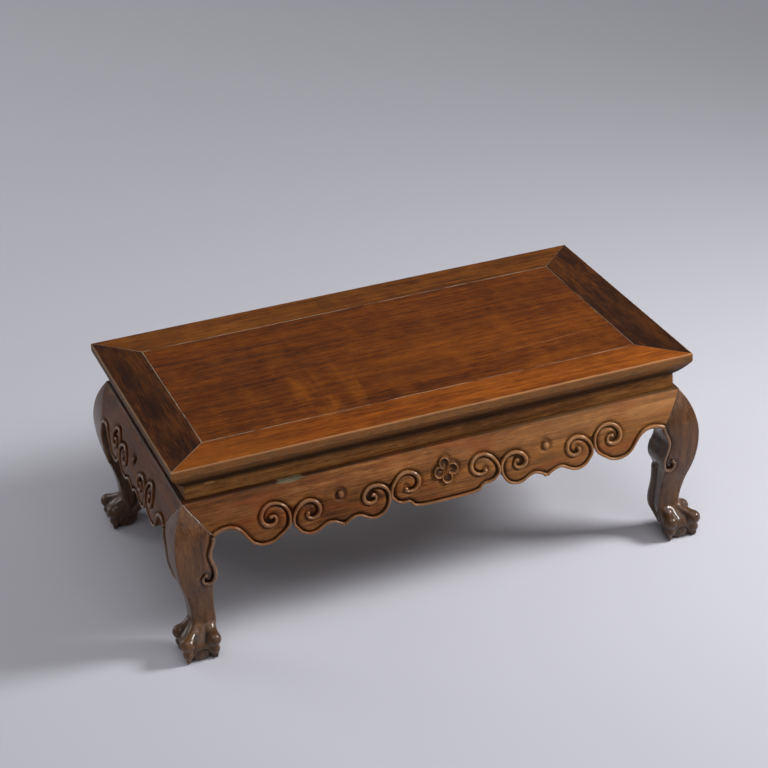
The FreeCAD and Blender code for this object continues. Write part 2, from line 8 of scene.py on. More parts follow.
# %% Open the measured frame
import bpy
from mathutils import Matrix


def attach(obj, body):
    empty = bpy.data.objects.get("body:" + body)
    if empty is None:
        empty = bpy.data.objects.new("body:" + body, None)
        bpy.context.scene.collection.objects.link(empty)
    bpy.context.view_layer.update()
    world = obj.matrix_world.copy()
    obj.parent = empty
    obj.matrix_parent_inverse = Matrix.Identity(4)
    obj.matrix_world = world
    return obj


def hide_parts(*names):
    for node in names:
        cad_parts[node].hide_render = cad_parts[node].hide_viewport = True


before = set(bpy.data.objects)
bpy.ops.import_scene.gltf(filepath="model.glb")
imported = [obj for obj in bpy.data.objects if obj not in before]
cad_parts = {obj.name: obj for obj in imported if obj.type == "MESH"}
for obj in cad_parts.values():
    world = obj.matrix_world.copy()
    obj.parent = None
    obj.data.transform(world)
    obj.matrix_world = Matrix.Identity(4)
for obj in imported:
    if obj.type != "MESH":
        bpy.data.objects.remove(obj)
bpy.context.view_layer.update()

# %% [markdown]
# ## Where everything is
#
# Sizes are in millimetres until a mesh is made. The origin is on the floor under the middle of the table,
# +X runs along it and -Y is the front. A place on a side is three numbers: how far along the side, how far
# in from the top's edge, and how high above the floor.

# %% The sizes that all pieces share
import math

import bpy
import numpy as np
from mathutils import Matrix, Vector

MM = 0.001
HALF_LENGTH = 375.0
HALF_WIDTH = 206.0
TABLE_TOP = 293.0
LEDGE = 236.0
LEDGE_INSET = 14.0
BULGE = 168.0
BULGE_INSET = -8.0
SWAY = 105.5
SWAY_INSET = 2.0
ANKLE = 43.0
ANKLE_INSET = 12.0
APRON_BACK = 30.0

SIDES = {
    "front": ((1, 0), (0, -1), HALF_WIDTH),
    "right": ((0, 1), (1, 0), HALF_LENGTH),
    "back": ((-1, 0), (0, 1), HALF_WIDTH),
    "left": ((0, -1), (-1, 0), HALF_LENGTH),
}


def on_side(side, along, inset, height):
    """The point that stands a given way along a side, in from the top's edge, and above the floor."""
    (ex, ey), (nx, ny), half = SIDES[side]
    along, inset, height = np.broadcast_arrays(along, inset, height)
    out = half - inset
    return np.stack([ex * along + nx * out, ey * along + ny * out, height], -1)


def at_corner(signs, points):
    """Points in place, from (inset x, inset y, height) off the two edges of the top that meet at a corner."""
    return points * [-signs[0], -signs[1], 1] + [signs[0] * HALF_LENGTH, signs[1] * HALF_WIDTH, 0]


def lifted(places, height):
    """Rings of places with the height of each ring as a third coordinate."""
    height = height.reshape(-1, *[1] * (places.ndim - 1))
    return np.concatenate([places, height + 0 * places[..., :1]], -1)


print("top", 2 * HALF_LENGTH, "by", 2 * HALF_WIDTH, "mm,", TABLE_TOP, "mm high")

# %% [markdown]
# ## One curve for aprons and legs
#
# The face of an apron swells out under the ledge, and the leg carries the same curve on down: out at the
# bulge, in at the calf, straight at the ankle. A maker saws both to one template. Here the template is one
# function of height, three arcs of circles that meet with no corner.


# %% The shared curve
def arc_sweep(height, fall, run):
    """How far an arc has moved sideways at a height from where it is upright, if it moves run over fall:
    R - sqrt(R^2 - h^2), where R is (fall^2 + run^2) / (2 run)."""
    radius = (fall**2 + run**2) / (2 * run)
    return radius - np.sqrt(radius**2 - np.clip(height, 0, fall) ** 2)


def face_inset(height):
    """How far the face stands in from the top's edge: an arc above the bulge and another below it, then an
    arc that bends the other way into the ankle."""
    height = np.asarray(height, float)
    above = BULGE_INSET + arc_sweep(height - BULGE, LEDGE - BULGE, LEDGE_INSET - BULGE_INSET)
    below = BULGE_INSET + arc_sweep(BULGE - height, BULGE - SWAY, SWAY_INSET - BULGE_INSET)
    calf = ANKLE_INSET - arc_sweep(height - ANKLE, SWAY - ANKLE, ANKLE_INSET - SWAY_INSET)
    return np.where(height > BULGE, above, np.where(height > SWAY, below, calf))


def smooth_step(low, high, value):
    """0 below low, 1 above high, and an S-curve between: 3s^2 - 2s^3."""
    share = np.clip((np.asarray(value, float) - low) / (high - low), 0, 1)
    return share * share * (3 - 2 * share)


def bell(offset, width):
    """1 at no offset, fading like a bell curve: e to the -(offset / width)^2."""
    return np.exp(-((offset / width) ** 2))


levels = np.array([LEDGE, BULGE, SWAY, ANKLE])
print("insets at", levels, "are", face_inset(levels))

# %% [markdown]
# ## Surfaces from arrays
#
# Carved wood is one closed skin: a stack of closed rings with the same number of points each, joined by
# four-sided faces and closed by a fan at each end. The volume inside tells whether the faces point
# outwards. Each point also gets one number, hollow, for the finishes to read: 0 on plain faces, up to 1 in
# the ground of the carving, painted darker as grime and as painted shade, and down to -1 on raised edges,
# painted paler as the polish of hands and as painted highlight.


# %% Rings to a closed skin
def closed_skin(rings, hollow):
    """Points, faces and hollow values of the skin over a stack of closed rings, with its ends closed."""
    count, around = rings.shape[:2]
    index = np.arange(count * around).reshape(count, around)
    after = np.roll(index, -1, axis=1)
    quads = np.stack([index[:-1], after[:-1], after[1:], index[1:]], -1).reshape(-1, 4)
    first, last = count * around, count * around + 1
    fans = np.concatenate([
        np.stack([np.full(around, first), after[0], index[0]], -1),
        np.stack([np.full(around, last), index[-1], after[-1]], -1),
    ])
    points = np.concatenate([rings.reshape(-1, 3), rings[[0, -1]].mean(1)])
    triangles = np.concatenate([quads[:, [0, 1, 2]], quads[:, [0, 2, 3]], fans])
    a, b, c = (points[triangles[:, k]] for k in range(3))
    if np.einsum("ij,ij->i", a, np.cross(b, c)).sum() < 0:
        quads, fans = quads[:, ::-1], fans[:, ::-1]
    values = np.broadcast_to(np.asarray(hollow, float), (count, around)).reshape(-1)
    values = np.concatenate([values, [values[0], values[-1]]])
    return points, quads, fans, values


def placed(name, data):
    """A new object in the scene, at the origin."""
    thing = bpy.data.objects.new(name, data)
    bpy.context.scene.collection.objects.link(thing)
    return thing


def make_piece(name, skins):
    """One object from closed skins given in millimetres, shaded smooth, with the hollow values on it."""
    points, faces, values, start = [], [], [], 0
    for skin_points, quads, fans, hollow in skins:
        points.append(skin_points)
        faces += (quads + start).tolist() + (fans + start).tolist()
        values.append(hollow)
        start += len(skin_points)
    points = np.concatenate(points) * MM
    mesh = bpy.data.meshes.new(name)
    mesh.from_pydata(points.tolist(), [], faces)
    mesh.attributes.new("hollow", "FLOAT", "POINT")
    mesh.attributes["hollow"].data.foreach_set("value", np.concatenate(values).astype(np.float32))
    mesh.polygons.foreach_set("use_smooth", np.ones(len(faces), bool))
    mesh.update()
    print(name, "has", sum(len(face) - 2 for face in faces), "triangles")
    return placed(name, mesh)


# %% [markdown]
# ## Drawn lines, made smooth
#
# The lower edge of an apron and its scrolls are drawn as a few points each. A Catmull-Rom curve passes
# through all of them and bends evenly between, as a chisel would.


# %% Smooth paths
def smooth_path(points, step):
    """Even points, about step apart, on the Catmull-Rom curve through the given ones: between two points it
    is the cubic whose slope at each is half the way from the point before to the one after."""
    points = np.asarray(points, float)
    ends = np.concatenate([2 * points[:1] - points[1:2], points, 2 * points[-1:] - points[-2:-1]])
    before, here, there, beyond = ends[:-3, None], ends[1:-2, None], ends[2:-1, None], ends[3:, None]
    share = np.linspace(0, 1, 24, endpoint=False)[None, :, None]
    fine = 0.5 * (2 * here + (there - before) * share
                  + (2 * before - 5 * here + 4 * there - beyond) * share**2
                  + (3 * here - before - 3 * there + beyond) * share**3)
    fine = np.concatenate([fine.reshape(-1, points.shape[1]), points[-1:]])
    return even_path(fine, step)


def even_path(fine, step):
    """The same path with points at even lengths along it."""
    run = np.concatenate([[0], np.cumsum(np.linalg.norm(np.diff(fine, axis=0), axis=1))])
    even = np.linspace(0, run[-1], max(4, int(run[-1] / step)))
    return np.stack([np.interp(even, run, fine[:, k]) for k in range(fine.shape[1])], -1)


def nearest(points, path, spread=8.0, blocks=96):
    """Distance from each point to the nearest point of a path, and how crowded the path is there: the sum
    of a bell curve of the distances to all its points. Blocks save memory."""
    path = path.astype(np.float32)
    distance, crowd = [], []
    for block in np.array_split(points.reshape(-1, 2).astype(np.float32), blocks):
        squares = ((block[:, None] - path) ** 2).sum(-1)
        distance.append(np.sqrt(squares.min(1)))
        crowd.append(np.exp(-squares / spread**2).sum(1))
    return [np.concatenate(values).reshape(points.shape[:-1]) for values in (distance, crowd)]


# %% [markdown]
# ## The raised bead
#
# A rounded bead runs along every lower edge, climbs between two lobes and winds into a scroll. Pushed up
# out of the face, its width would hang on the grid, so it is a rod of its own: an oval carried along the
# path, half sunk in the face, as crisp as a cut one.


# %% A rod along a path
BEAD_WIDE, BEAD_TALL, BEAD_SINK = 2.9, 3.1, 1.1
KNOB_PLACE, KNOB_LENGTH, KNOB_SWELL = 2.6, 2.0, 0.42
NECK_SIZE, NECK_GROWTH, WHORL_SIZE, PLAIN_LOSS = 0.68, 0.32, 1.06, 0.36
FLANK_HOLLOW, CREST_WEAR_AND_HIGHLIGHT = 0.55, 1.55
PLAIN_FROM = {"free": (62, 92), "cut": (25, 60), "round": (0, 6)}


def rod(path, outward, ends, points=16):
    """Rings of an oval carried along a path, and their hollow values. The oval is full size in the whorls
    and by the legs, and a third smaller along the plain edges. A free end narrows and then swells into a
    knob, and an end at a mitre is cut flat. The crest is painted pale, as wear and as a painted highlight,
    and both flanks dark, as grime and as painted shade."""
    along = np.gradient(path, axis=0)
    along /= np.linalg.norm(along, axis=1)[:, None]
    outward = outward - (outward * along).sum(1)[:, None] * along
    outward /= np.linalg.norm(outward, axis=1)[:, None]
    across = np.cross(along, outward)
    run = np.concatenate([[0], np.cumsum(np.linalg.norm(np.diff(path, axis=0), axis=1))])
    size, plain = np.ones(len(path)), np.ones(len(path))
    for left, end in zip((run, run[-1] - run), ends):
        plain *= smooth_step(*PLAIN_FROM[end], left)
        if end == "free":
            knob = KNOB_SWELL * bell(left - KNOB_PLACE, KNOB_LENGTH)
            size *= NECK_SIZE + NECK_GROWTH * smooth_step(4, 34, left) + knob
        if end != "cut":
            size *= np.sqrt(np.clip(1 - (1 - np.clip(left / BEAD_WIDE, 0, 1)) ** 2, 0.02, 1))
    turn = np.linspace(0, 2 * math.pi, points, endpoint=False)
    size = (size * (WHORL_SIZE - PLAIN_LOSS * plain))[:, None, None]
    rings = (path[:, None] + size * BEAD_WIDE * np.cos(turn)[None, :, None] * across[:, None]
             + size * BEAD_TALL * np.sin(turn)[None, :, None] * outward[:, None])
    # Crest paler, as wear and painted highlight; flanks darker, as grime and painted shade.
    hollow = FLANK_HOLLOW - CREST_WEAR_AND_HIGHLIGHT * smooth_step(0.1, 1.0, np.sin(turn))
    return rings, hollow[None] + 0 * size[..., 0]


# %% [markdown]
# ## The carved lines
#
# Left of the middle a long apron has an arch at the leg, a lobe whose bead climbs into scroll one, a lobe
# with scroll two, a small point, a lobe with scroll three, and scroll four over the start of the flat
# middle. The right half is its mirror. A short apron has the same scrolls either side of a small point.
# Places are (along, below the table's top).

# %% Places of the carved lines
LONG_SPAN, SHORT_SPAN = 329.0, 160.0
ARCH_LOBE = [
    (-331, -105.6), (-327, -102.1), (-321, -99.6), (-313, -98.1), (-304, -98.6), (-295, -102.6),
    (-288, -109.6), (-282, -118.6), (-276, -126.6), (-268, -131.8), (-258, -133.6), (-247, -131.6),
    (-238, -125.6), (-230, -119.6)]
SCROLL_ONE = [
    (-224.5, -113), (-222.3, -103), (-224, -93), (-230, -85), (-239, -81), (-249, -81), (-257, -85.5),
    (-261.5, -93), (-261, -100.5), (-256.5, -106.5), (-249.5, -108.3), (-243.5, -105.8), (-241.2, -100.8),
    (-243.8, -96.6), (-248.2, -96.8), (-249.6, -99.8)]
SCROLL_TWO = [
    (-195.5, -101.5), (-199, -106), (-195.5, -110.8), (-189.5, -111.8), (-183.8, -108.6), (-180.6, -102.2),
    (-181.5, -95.2), (-186.2, -90), (-193.5, -87.3), (-201.5, -88.2), (-209, -92.3), (-214.6, -99),
    (-217.8, -107.5), (-217.2, -116)]
LOBE_TWO = [
    (-213.2, -121.8), (-207.5, -129.1), (-199, -133.4), (-189.5, -133.2), (-180.5, -128.8), (-172.5, -124.2),
    (-164, -124.2), (-156, -127.8), (-148.3, -133)]
LOBE_THREE = [
    (-148.3, -133), (-141, -127.6), (-133, -124.2), (-125.5, -124.6), (-118, -128.8), (-110, -133),
    (-100.5, -133.2), (-91.5, -128.6), (-85.6, -120.6)]
SCROLL_THREE = [
    (-82.4, -113), (-82, -103), (-86, -94.6), (-93.5, -89.6), (-102, -88.2), (-110, -90), (-116.3, -95),
    (-118.6, -101.4), (-116, -107.6), (-109.6, -110.6), (-103.4, -108.8), (-101, -103.6), (-104, -99.8),
    (-108, -101.6)]
SCROLL_FOUR = [
    (-57.5, -100), (-57.6, -104.8), (-51.8, -107), (-45, -105.4), (-39.6, -100), (-38.2, -92.6),
    (-42.2, -85.8), (-50, -81.6), (-59, -81.4), (-67, -85.2), (-73.4, -91.6), (-77.6, -99.6), (-78.6, -108.6)]
MIDDLE = [
    (-75.2, -114), (-69, -119.4), (-61, -121.2), (-56, -120.8), (-51.5, -123.6), (-47.6, -128.2),
    (-41, -130.6), (-32, -131.6), (-16, -132), (0, -132.1)]


def turned(path, about=0.0):
    """The mirror of a path in the line at a place along the side, run backwards."""
    path = np.asarray(path, float)
    return np.stack([2 * about - path[::-1, 0], path[::-1, 1]], -1)


def moved(path, shift, stretch=1.0, about=0.0):
    """The path moved along the side, and stretched about a place."""
    path = np.asarray(path, float)
    return np.stack([about + (path[:, 0] - about) * stretch + shift, path[:, 1]], -1)


LONG_HALF = [ARCH_LOBE + SCROLL_ONE, SCROLL_TWO + LOBE_TWO, LOBE_THREE + SCROLL_THREE]
LONG_BEADS = [*LONG_HALF, np.concatenate([SCROLL_FOUR, MIDDLE, turned(MIDDLE)[1:], turned(SCROLL_FOUR)]),
              *[turned(path) for path in LONG_HALF]]
SHORT_SHIFT = 148.3
ARCH_SHIFT, ARCH_STRETCH, ARCH_MIRROR = SHORT_SHIFT + 140.6, 0.865, -222.3


def short_arch(path):
    """An arch of a long apron on the right half of a short one: mirrored, moved and a little shorter."""
    return moved(turned(path, ARCH_MIRROR), ARCH_SHIFT, ARCH_STRETCH, ARCH_MIRROR)


SHORT_RIGHT = [moved(LOBE_THREE + SCROLL_THREE, SHORT_SHIFT), short_arch(ARCH_LOBE + SCROLL_ONE)]
SHORT_BEADS = [*SHORT_RIGHT, *[turned(path) for path in SHORT_RIGHT]]
print("beads on a long and a short apron:", len(LONG_BEADS), len(SHORT_BEADS))

# %% The lower edges that the beads follow
LONG_LOW = [*ARCH_LOBE, (-224.5, -113), (-220.6, -106.5), (-217.2, -116), *LOBE_TWO, *LOBE_THREE[1:],
            (-82.4, -113), (-80.3, -103.5), (-78.6, -108.6), *MIDDLE]
RIGHT_LOW = np.concatenate([
    moved([*LOBE_THREE, (-82.4, -113)], SHORT_SHIFT),
    short_arch([*ARCH_LOBE, (-224.5, -113), (-221.4, -106.5)])])


def lower_edge(points, span):
    """The smooth edge through the points, cut at the legs, with places that only ever grow."""
    edge = smooth_path(points, 1.0)
    edge[:, 0] = np.maximum.accumulate(edge[:, 0]) + np.linspace(0, 0.01, len(edge))
    inner = edge[np.abs(edge[:, 0]) < span - 0.5]
    ends = [[place, np.interp(place, edge[:, 0], edge[:, 1])] for place in (-span, span)]
    return np.concatenate([ends[:1], inner, ends[1:]])


LONG_EDGE = lower_edge(np.concatenate([LONG_LOW, turned(LONG_LOW)[1:]]), LONG_SPAN)
SHORT_EDGE = lower_edge(np.concatenate([turned(RIGHT_LOW), RIGHT_LOW[1:]]), SHORT_SPAN)
print("slices across a long and a short apron:", len(LONG_EDGE), len(SHORT_EDGE))

# %% [markdown]
# ## The aprons
#
# An apron is a board about thirty millimetres thick, with sloped ends that make a mitre with the leg. The
# rings of its skin are slices across the board: up the carved face, over the ledge, down the flat back and
# along the lower edge. Near the beads the ground is cut back, which makes carved lines read as raised.

# %% Where a mitre is, and how deep the ground is
MITRE_FOOT, MITRE_RUN = 190.0, 32.0
GROUND_DEPTH, GROUND_FLAT = 4.3, 2.7
OPEN_DEPTH, OPEN_FADE, WHORL_FADE = 2.0, 2.9, 4.4
WHORL_FROM, WHORL_FULL = 10.5, 16
CARVED_TOP, CARVED_ROWS = 217.0, 62
FREE_ABOVE = -112


def mitre_slant(height):
    """How far the mitre has moved outwards at a height: nothing below its foot, then in proportion."""
    return MITRE_RUN * np.clip((height - MITRE_FOOT) / (LEDGE - MITRE_FOOT), 0, 1)


def ground(distance, crowd):
    """How far the face is cut back near a bead: level close by, then fading like a bell curve. Inside a
    whorl, where the bead is crowded, the cut is twice as deep and wider, so that it lies in shade."""
    whorl = smooth_step(WHORL_FROM, WHORL_FULL, crowd)
    fade = OPEN_FADE + (WHORL_FADE - OPEN_FADE) * whorl
    depth = OPEN_DEPTH + (GROUND_DEPTH - OPEN_DEPTH) * whorl
    return depth * bell(np.clip(distance - GROUND_FLAT, 0, None), fade)


# %% The skin of an apron
BELOW_BEAD, ARRIS_DOWN, ARRIS_IN = 1.5, 0.6, 0.7
LEDGE_BACK, EDGE_BACK, EDGE_FRONT = 22, 20, 4
PLAIN_ROWS, BACK_ROWS, LEAN_FROM, BOARD_HOLLOW = 9, 5, 80, 0.25


def apron_board(side, span, edge, beads, rims):
    """Slices across the board at the places of its edge. A slice goes up the face, whose inset is the
    shared curve plus the ground by the beads and the rims, and back down behind. Towards the ends the slices
    lean over to the mitre."""
    along, low = edge[:, :1], TABLE_TOP + edge[:, 1:] - BELOW_BEAD
    carved = low + (CARVED_TOP - low) * np.linspace(0, 1, CARVED_ROWS)
    plain = np.linspace(CARVED_TOP, LEDGE - ARRIS_DOWN, PLAIN_ROWS)[1:] + 0 * low
    face = np.concatenate([carved, plain], 1)
    behind = low + (LEDGE - low) * np.linspace(1, 0, BACK_ROWS)
    height = np.concatenate([face, LEDGE + 0 * low, LEDGE + 0 * low, behind, low, low], 1)
    inset = np.concatenate([
        face_inset(face), LEDGE_INSET + ARRIS_IN + 0 * low, LEDGE_BACK + 0 * low, APRON_BACK + 0 * behind,
        face_inset(low) + EDGE_BACK, face_inset(low) + EDGE_FRONT], 1)
    lean = smooth_step(span - LEAN_FROM, span, np.abs(along))
    place = np.abs(along) + mitre_slant(height) * lean
    place = np.sign(along) * np.minimum(place, HALF_LENGTH + HALF_WIDTH - SIDES[side][2] - inset)
    rows = face.shape[1]
    spots = np.stack([place[:, :rows], face - TABLE_TOP], -1)
    distance, crowd = nearest(spots, beads)
    depth = ground(np.minimum(distance, nearest(spots, rims)[0]), crowd)
    inset[:, :rows] += depth
    hollow = np.full(height.shape, BOARD_HOLLOW)
    hollow[:, :rows] = depth / GROUND_DEPTH
    return closed_skin(on_side(side, place, inset, height), hollow)


def face_normal(way, height):
    """Outward direction of a face that looks a given way, tilted by the slope of the shared curve."""
    slope = face_inset(height + 0.5) - face_inset(height - 0.5)
    return np.stack([way[0] + 0 * slope, way[1] + 0 * slope, slope], -1)


def face_rod(side, span, path):
    """A bead on an apron's face, its centre line sunk a little. An end high on the face is free, and one at
    the end of the span is cut off by the mitre."""
    along, height = path[:, 0], TABLE_TOP + path[:, 1]
    centre = on_side(side, along, face_inset(height) + BEAD_SINK, height)
    ends = ["cut" if abs(place) > span - 5 else "free" if below > FREE_ABOVE else "round"
            for place, below in path[[0, -1]]]
    return closed_skin(*rod(centre, face_normal(SIDES[side][1], height), ends))


# %% [markdown]
# ## Bosses and the blossom
#
# Small round bosses sit between the lobed groups, and a four-petalled blossom marks the middle of a long
# apron. Their skins are rings about their own middle: how high the wood stands is a function of how far
# out a point is and in which direction.


# %% A round relief on the face
def round_relief(side, along, below, outline, rise, rings=20, around=64):
    """Rings about a place on the face, from the outline to the middle. outline(direction) is how far the
    relief reaches, and rise(out, direction) how far it stands out of the face."""
    direction = np.linspace(0, 2 * math.pi, around, endpoint=False)[None]
    share = np.linspace(1, 0.04, rings)[:, None]
    out = outline(direction) * share
    height = TABLE_TOP + below + out * np.sin(direction)
    stand = np.where(share > 0.999, RELIEF_FOOT, rise(out, direction))
    points = on_side(side, along + out * np.cos(direction), face_inset(height) - stand, height)
    return closed_skin(points, np.clip(0.9 - stand * 0.7, -0.9, 1.0))


BOSS_RADIUS, BOSS_TALL, BOSS_SINK = 5.3, 4.9, 1.9
RELIEF_FOOT = -3.2


def boss_outline(direction):
    return BOSS_RADIUS + 0 * direction


def boss_rise(out, direction):
    """A half ball: its height times the square root of 1 - (out / radius)^2, sunk in the cut-back ground."""
    return BOSS_TALL * np.sqrt(np.clip(1 - (out / BOSS_RADIUS) ** 2, 0, 1)) - BOSS_SINK


PETAL_OUT, PETAL_RADIUS, PETAL_TILT = 9.9, 8.2, 0.08
HEART_RADIUS, HEART_OUT, HEART_BEAD = 4.6, 2.9, 1.35
RIM_PLACE, RIM_WIDTH, RIM_SHARPNESS = 0.84, 0.17, 2.2


def petal_angle(direction):
    """The angle from the middle line of the nearest of four petals."""
    quarter = math.pi / 2
    return (direction - quarter - PETAL_TILT + quarter / 2) % quarter - quarter / 2


def blossom_outline(direction):
    """How far the petals reach: where a ray from the middle leaves the nearest petal's circle."""
    turn = petal_angle(direction)
    return PETAL_OUT * np.cos(turn) + np.sqrt(
        np.clip(PETAL_RADIUS**2 - (PETAL_OUT * np.sin(turn)) ** 2, 0.5, None))


def blossom_rise(out, direction):
    """Each petal is a cup: a thin rim that curls up most at its tip, and a dished middle. The heart is one
    small bead with six round it, in a sunk ring."""
    turn = petal_angle(direction)
    from_petal = np.hypot(out * np.cos(turn) - PETAL_OUT, out * np.sin(turn)) / PETAL_RADIUS
    curl = 2.9 + 1.0 * smooth_step(6, 17, out)
    petal_rim = np.exp(-((np.abs(from_petal - RIM_PLACE) / RIM_WIDTH) ** RIM_SHARPNESS))
    cup = curl * petal_rim + 0.9 * (1 - from_petal**2) - 1.2
    sixth = math.pi / 3
    round_heart = (direction + sixth / 2) % sixth - sixth / 2
    to_bead = np.minimum(
        out, np.hypot(out * np.cos(round_heart) - HEART_OUT, out * np.sin(round_heart))) / HEART_BEAD
    heart = 3.0 * np.sqrt(np.clip(1 - to_bead**2, 0, 1)) - 1.0
    return np.where(out < HEART_RADIUS, heart, np.maximum(cup, -1.6))


# %% Make the four aprons
ROUND, RIM_INSIDE = np.linspace(0, 2 * math.pi, 48, endpoint=False), 1.5
BOSS = (boss_outline, boss_rise)
LONG_RELIEFS = [(-149.5, -88.5, *BOSS), (149.5, -88.5, *BOSS),
                (1.0, -90.0, blossom_outline, blossom_rise, 36, 144)]
SHORT_RELIEFS = [(0.0, -86.0, *BOSS)]


def rim(place, below, outline):
    """Points just inside the outline of a relief. The ground is cut back round them."""
    reach = outline(ROUND) - RIM_INSIDE
    return np.stack([place + reach * np.cos(ROUND), below + reach * np.sin(ROUND)], -1)


aprons = {}
for side in SIDES:
    long = side in ("front", "back")
    span, edge = (LONG_SPAN, LONG_EDGE) if long else (SHORT_SPAN, SHORT_EDGE)
    paths = [smooth_path(path, 1.0) for path in (LONG_BEADS if long else SHORT_BEADS)]
    paths = [path[np.abs(path[:, 0]) < span + 0.5] for path in paths]
    reliefs = LONG_RELIEFS if long else SHORT_RELIEFS
    rims = [rim(*relief[:3]) for relief in reliefs]
    skins = [apron_board(side, span, edge, np.concatenate(paths), np.concatenate(rims))]
    skins += [face_rod(side, span, path) for path in paths]
    skins += [round_relief(side, *relief) for relief in reliefs]
    aprons[side] = make_piece("apron_%s_carved" % side, skins)
    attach(aprons[side], "root")
    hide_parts("apron_%s" % side)

# %% [markdown]
# ## The legs
#
# A leg is sawn from a square post to the shared template on two faces, so a slice across it is a square.
# Its outer corner follows the shared curve and its inner corner a lobed edge. The apron's bead runs on down
# that edge and ends in a hook. Below, a groove sets off a rounded rib, which runs on into the heel.

# %% The lines of a leg
MITRE_CORNER = 46.0
LEG_BEAD = [
    (45.5, 187.6), (45.1, 183), (42.5, 176), (39.9, 169.5), (38.8, 163), (39.6, 156), (41.6, 149),
    (43.6, 142), (44.7, 135), (44.6, 128.5), (43.1, 122.3), (40.2, 117.6), (35.4, 115.8), (30.6, 117.4),
    (27.5, 121.7), (27.4, 127), (30.2, 131), (34.4, 131.6)]
INNER_EDGE = [
    (44, 43), (43.6, 55), (42.2, 76), (41.2, 96), (41.2, 108), (41.8, 114), (43.6, 119.5), (45.6, 124.5),
    (46.2, 131), (45.9, 138), (44.2, 146), (42, 153), (40.5, 160), (40.5, 166), (42.2, 173), (45.4, 181),
    (46.9, 187), (46, 190)]
leg_bead = smooth_path(LEG_BEAD, 1.0)
inner_edge = smooth_path(INNER_EDGE, 0.5)


def inner_inset(height):
    """Inset of the leg's inner edge at a height: the lobed edge, and above the arch the mitre."""
    edge = np.interp(height, np.maximum.accumulate(inner_edge[:, 1]), inner_edge[:, 0])
    return np.where(height > MITRE_FOOT, MITRE_CORNER - mitre_slant(height), edge)


# %% A slice across a leg
FACE_POINTS, INNER_POINTS, CORNER_POINTS = 58, 40, 8
SHAFT_FOOT, ANKLE_CORNER = 60.0, 3.0
OUTER_ROUND, SIDE_ROUND, INNER_ROUND, RIB_ROUND = 1.3, 1.6, 3.5, 8.0
RIB_FROM, RIB_FULL = 122, 104


def leg_slices(height):
    """Rings of insets (x, y) with their outward directions: a square from the face's inset to the inner
    edge's, with quarter circles for corners. It starts at the outer corner and goes along the front face."""
    low, high = face_inset(height)[:, None], inner_inset(height)[:, None]
    width = high - low
    inner_round = INNER_ROUND + (RIB_ROUND - INNER_ROUND) * smooth_step(RIB_FROM, RIB_FULL, height[:, None])
    eased = smooth_step(86, SHAFT_FOOT + 1, height[:, None])
    radii = [np.minimum(radius + (ANKLE_CORNER - radius) * eased, width / 3.2) for radius in (
        OUTER_ROUND + 0 * width, SIDE_ROUND + 0 * width, inner_round, SIDE_ROUND + 0 * width)]
    corners = [(low, low, 1, 1), (high, low, -1, 1), (high, high, -1, -1), (low, high, 1, -1)]
    arcs, turns = [], []
    for number, ((x, y, into_x, into_y), radius) in enumerate(zip(corners, radii)):
        turn = math.pi * (1 + number / 2) + np.linspace(0, math.pi / 2, CORNER_POINTS)[None]
        arcs.append((x + into_x * radius + radius * np.cos(turn),
                     y + into_y * radius + radius * np.sin(turn)))
        turns.append(turn + 0 * x)
    rings, directions = [], []
    for number, count in enumerate((FACE_POINTS, INNER_POINTS, INNER_POINTS, FACE_POINTS)):
        after = (number + 1) % 4
        share = np.linspace(0, 1, count + 2)[1:-1]
        run = [arcs[number][k][:, -1:] * (1 - share) + arcs[after][k][:, :1] * share for k in (0, 1)]
        rings += [np.stack(arcs[number], -1), np.stack(run, -1)]
        directions += [turns[number], turns[number][:, -1:] + 0 * share]
    turn = np.concatenate(directions, 1)
    return np.concatenate(rings, 1), np.stack([np.cos(turn), np.sin(turn)], -1)


# %% What the carver does to the slices
SWELL, RIB_STAND, GROOVE_DEPTH, GROOVE_PLACE = 0.9, 3.4, 2.4, 0.6
GROOVE_WIDTH, GROOVE_SHADE, GROOVE_FROM, GROOVE_FULL = 1.8, 2.2, 114, 106
ON_FACE, INSIDE = -0.9, 0.6


def carve_leg(rings, outward, height):
    """Moves the slices' points along their outward direction. Faces swell a little in the middle, the ground
    by the bead is cut back, and below the hook a groove sets off the inner rib."""
    low, high = face_inset(height)[:, None], inner_inset(height)[:, None]
    tall = height[:, None] + 0 * rings[..., 0]
    across = np.where(outward[..., 0] ** 2 < outward[..., 1] ** 2, rings[..., 0], rings[..., 1])
    share = (across - low) / (high - low)
    on_face = np.minimum(outward[..., 0], outward[..., 1]) < ON_FACE
    depth = np.where(on_face, ground(*nearest(np.stack([across, tall], -1), leg_bead)), 0)
    swell = np.where(on_face, SWELL * (1 - (2 * share - 1) ** 2) * smooth_step(LEDGE, MITRE_FOOT, tall), 0)
    inside = np.maximum(outward[..., 0], outward[..., 1]) > INSIDE
    deep = np.where(outward[..., 0] > outward[..., 1], rings[..., 1], rings[..., 0]) - low
    past = deep - GROOVE_PLACE * (high - low)
    below_hook = smooth_step(GROOVE_FROM, GROOVE_FULL, tall) * inside
    rib = below_hook * (RIB_STAND * smooth_step(0, 5, past) - GROOVE_DEPTH * bell(past, GROOVE_WIDTH))
    hollow = np.clip(depth / GROUND_DEPTH + below_hook * bell(past, GROOVE_SHADE), 0, 1)
    corner = 1.0 * (rings < low[..., None] + OUTER_ROUND + 0.1).all(-1)
    worn = 0.8 * corner * smooth_step(90, 225, tall)
    return rings + (swell - depth + rib)[..., None] * outward, hollow - worn


# %% [markdown]
# ## A claw round a ball
#
# The ankle flares into a sleeve of skin that arches over a ball, three toes run down its outer corners and
# press short claws to the floor, and on the inner corner the leg sweeps under as a heel. All this is said
# as a field, a number for every point of space that is negative in the wood: the distance to leg, sleeve,
# toes and ball, with the smaller one taken and blended where they meet. On each level, rays go out from
# the foot's middle, and the skin is where the field last changes sign along the ray.

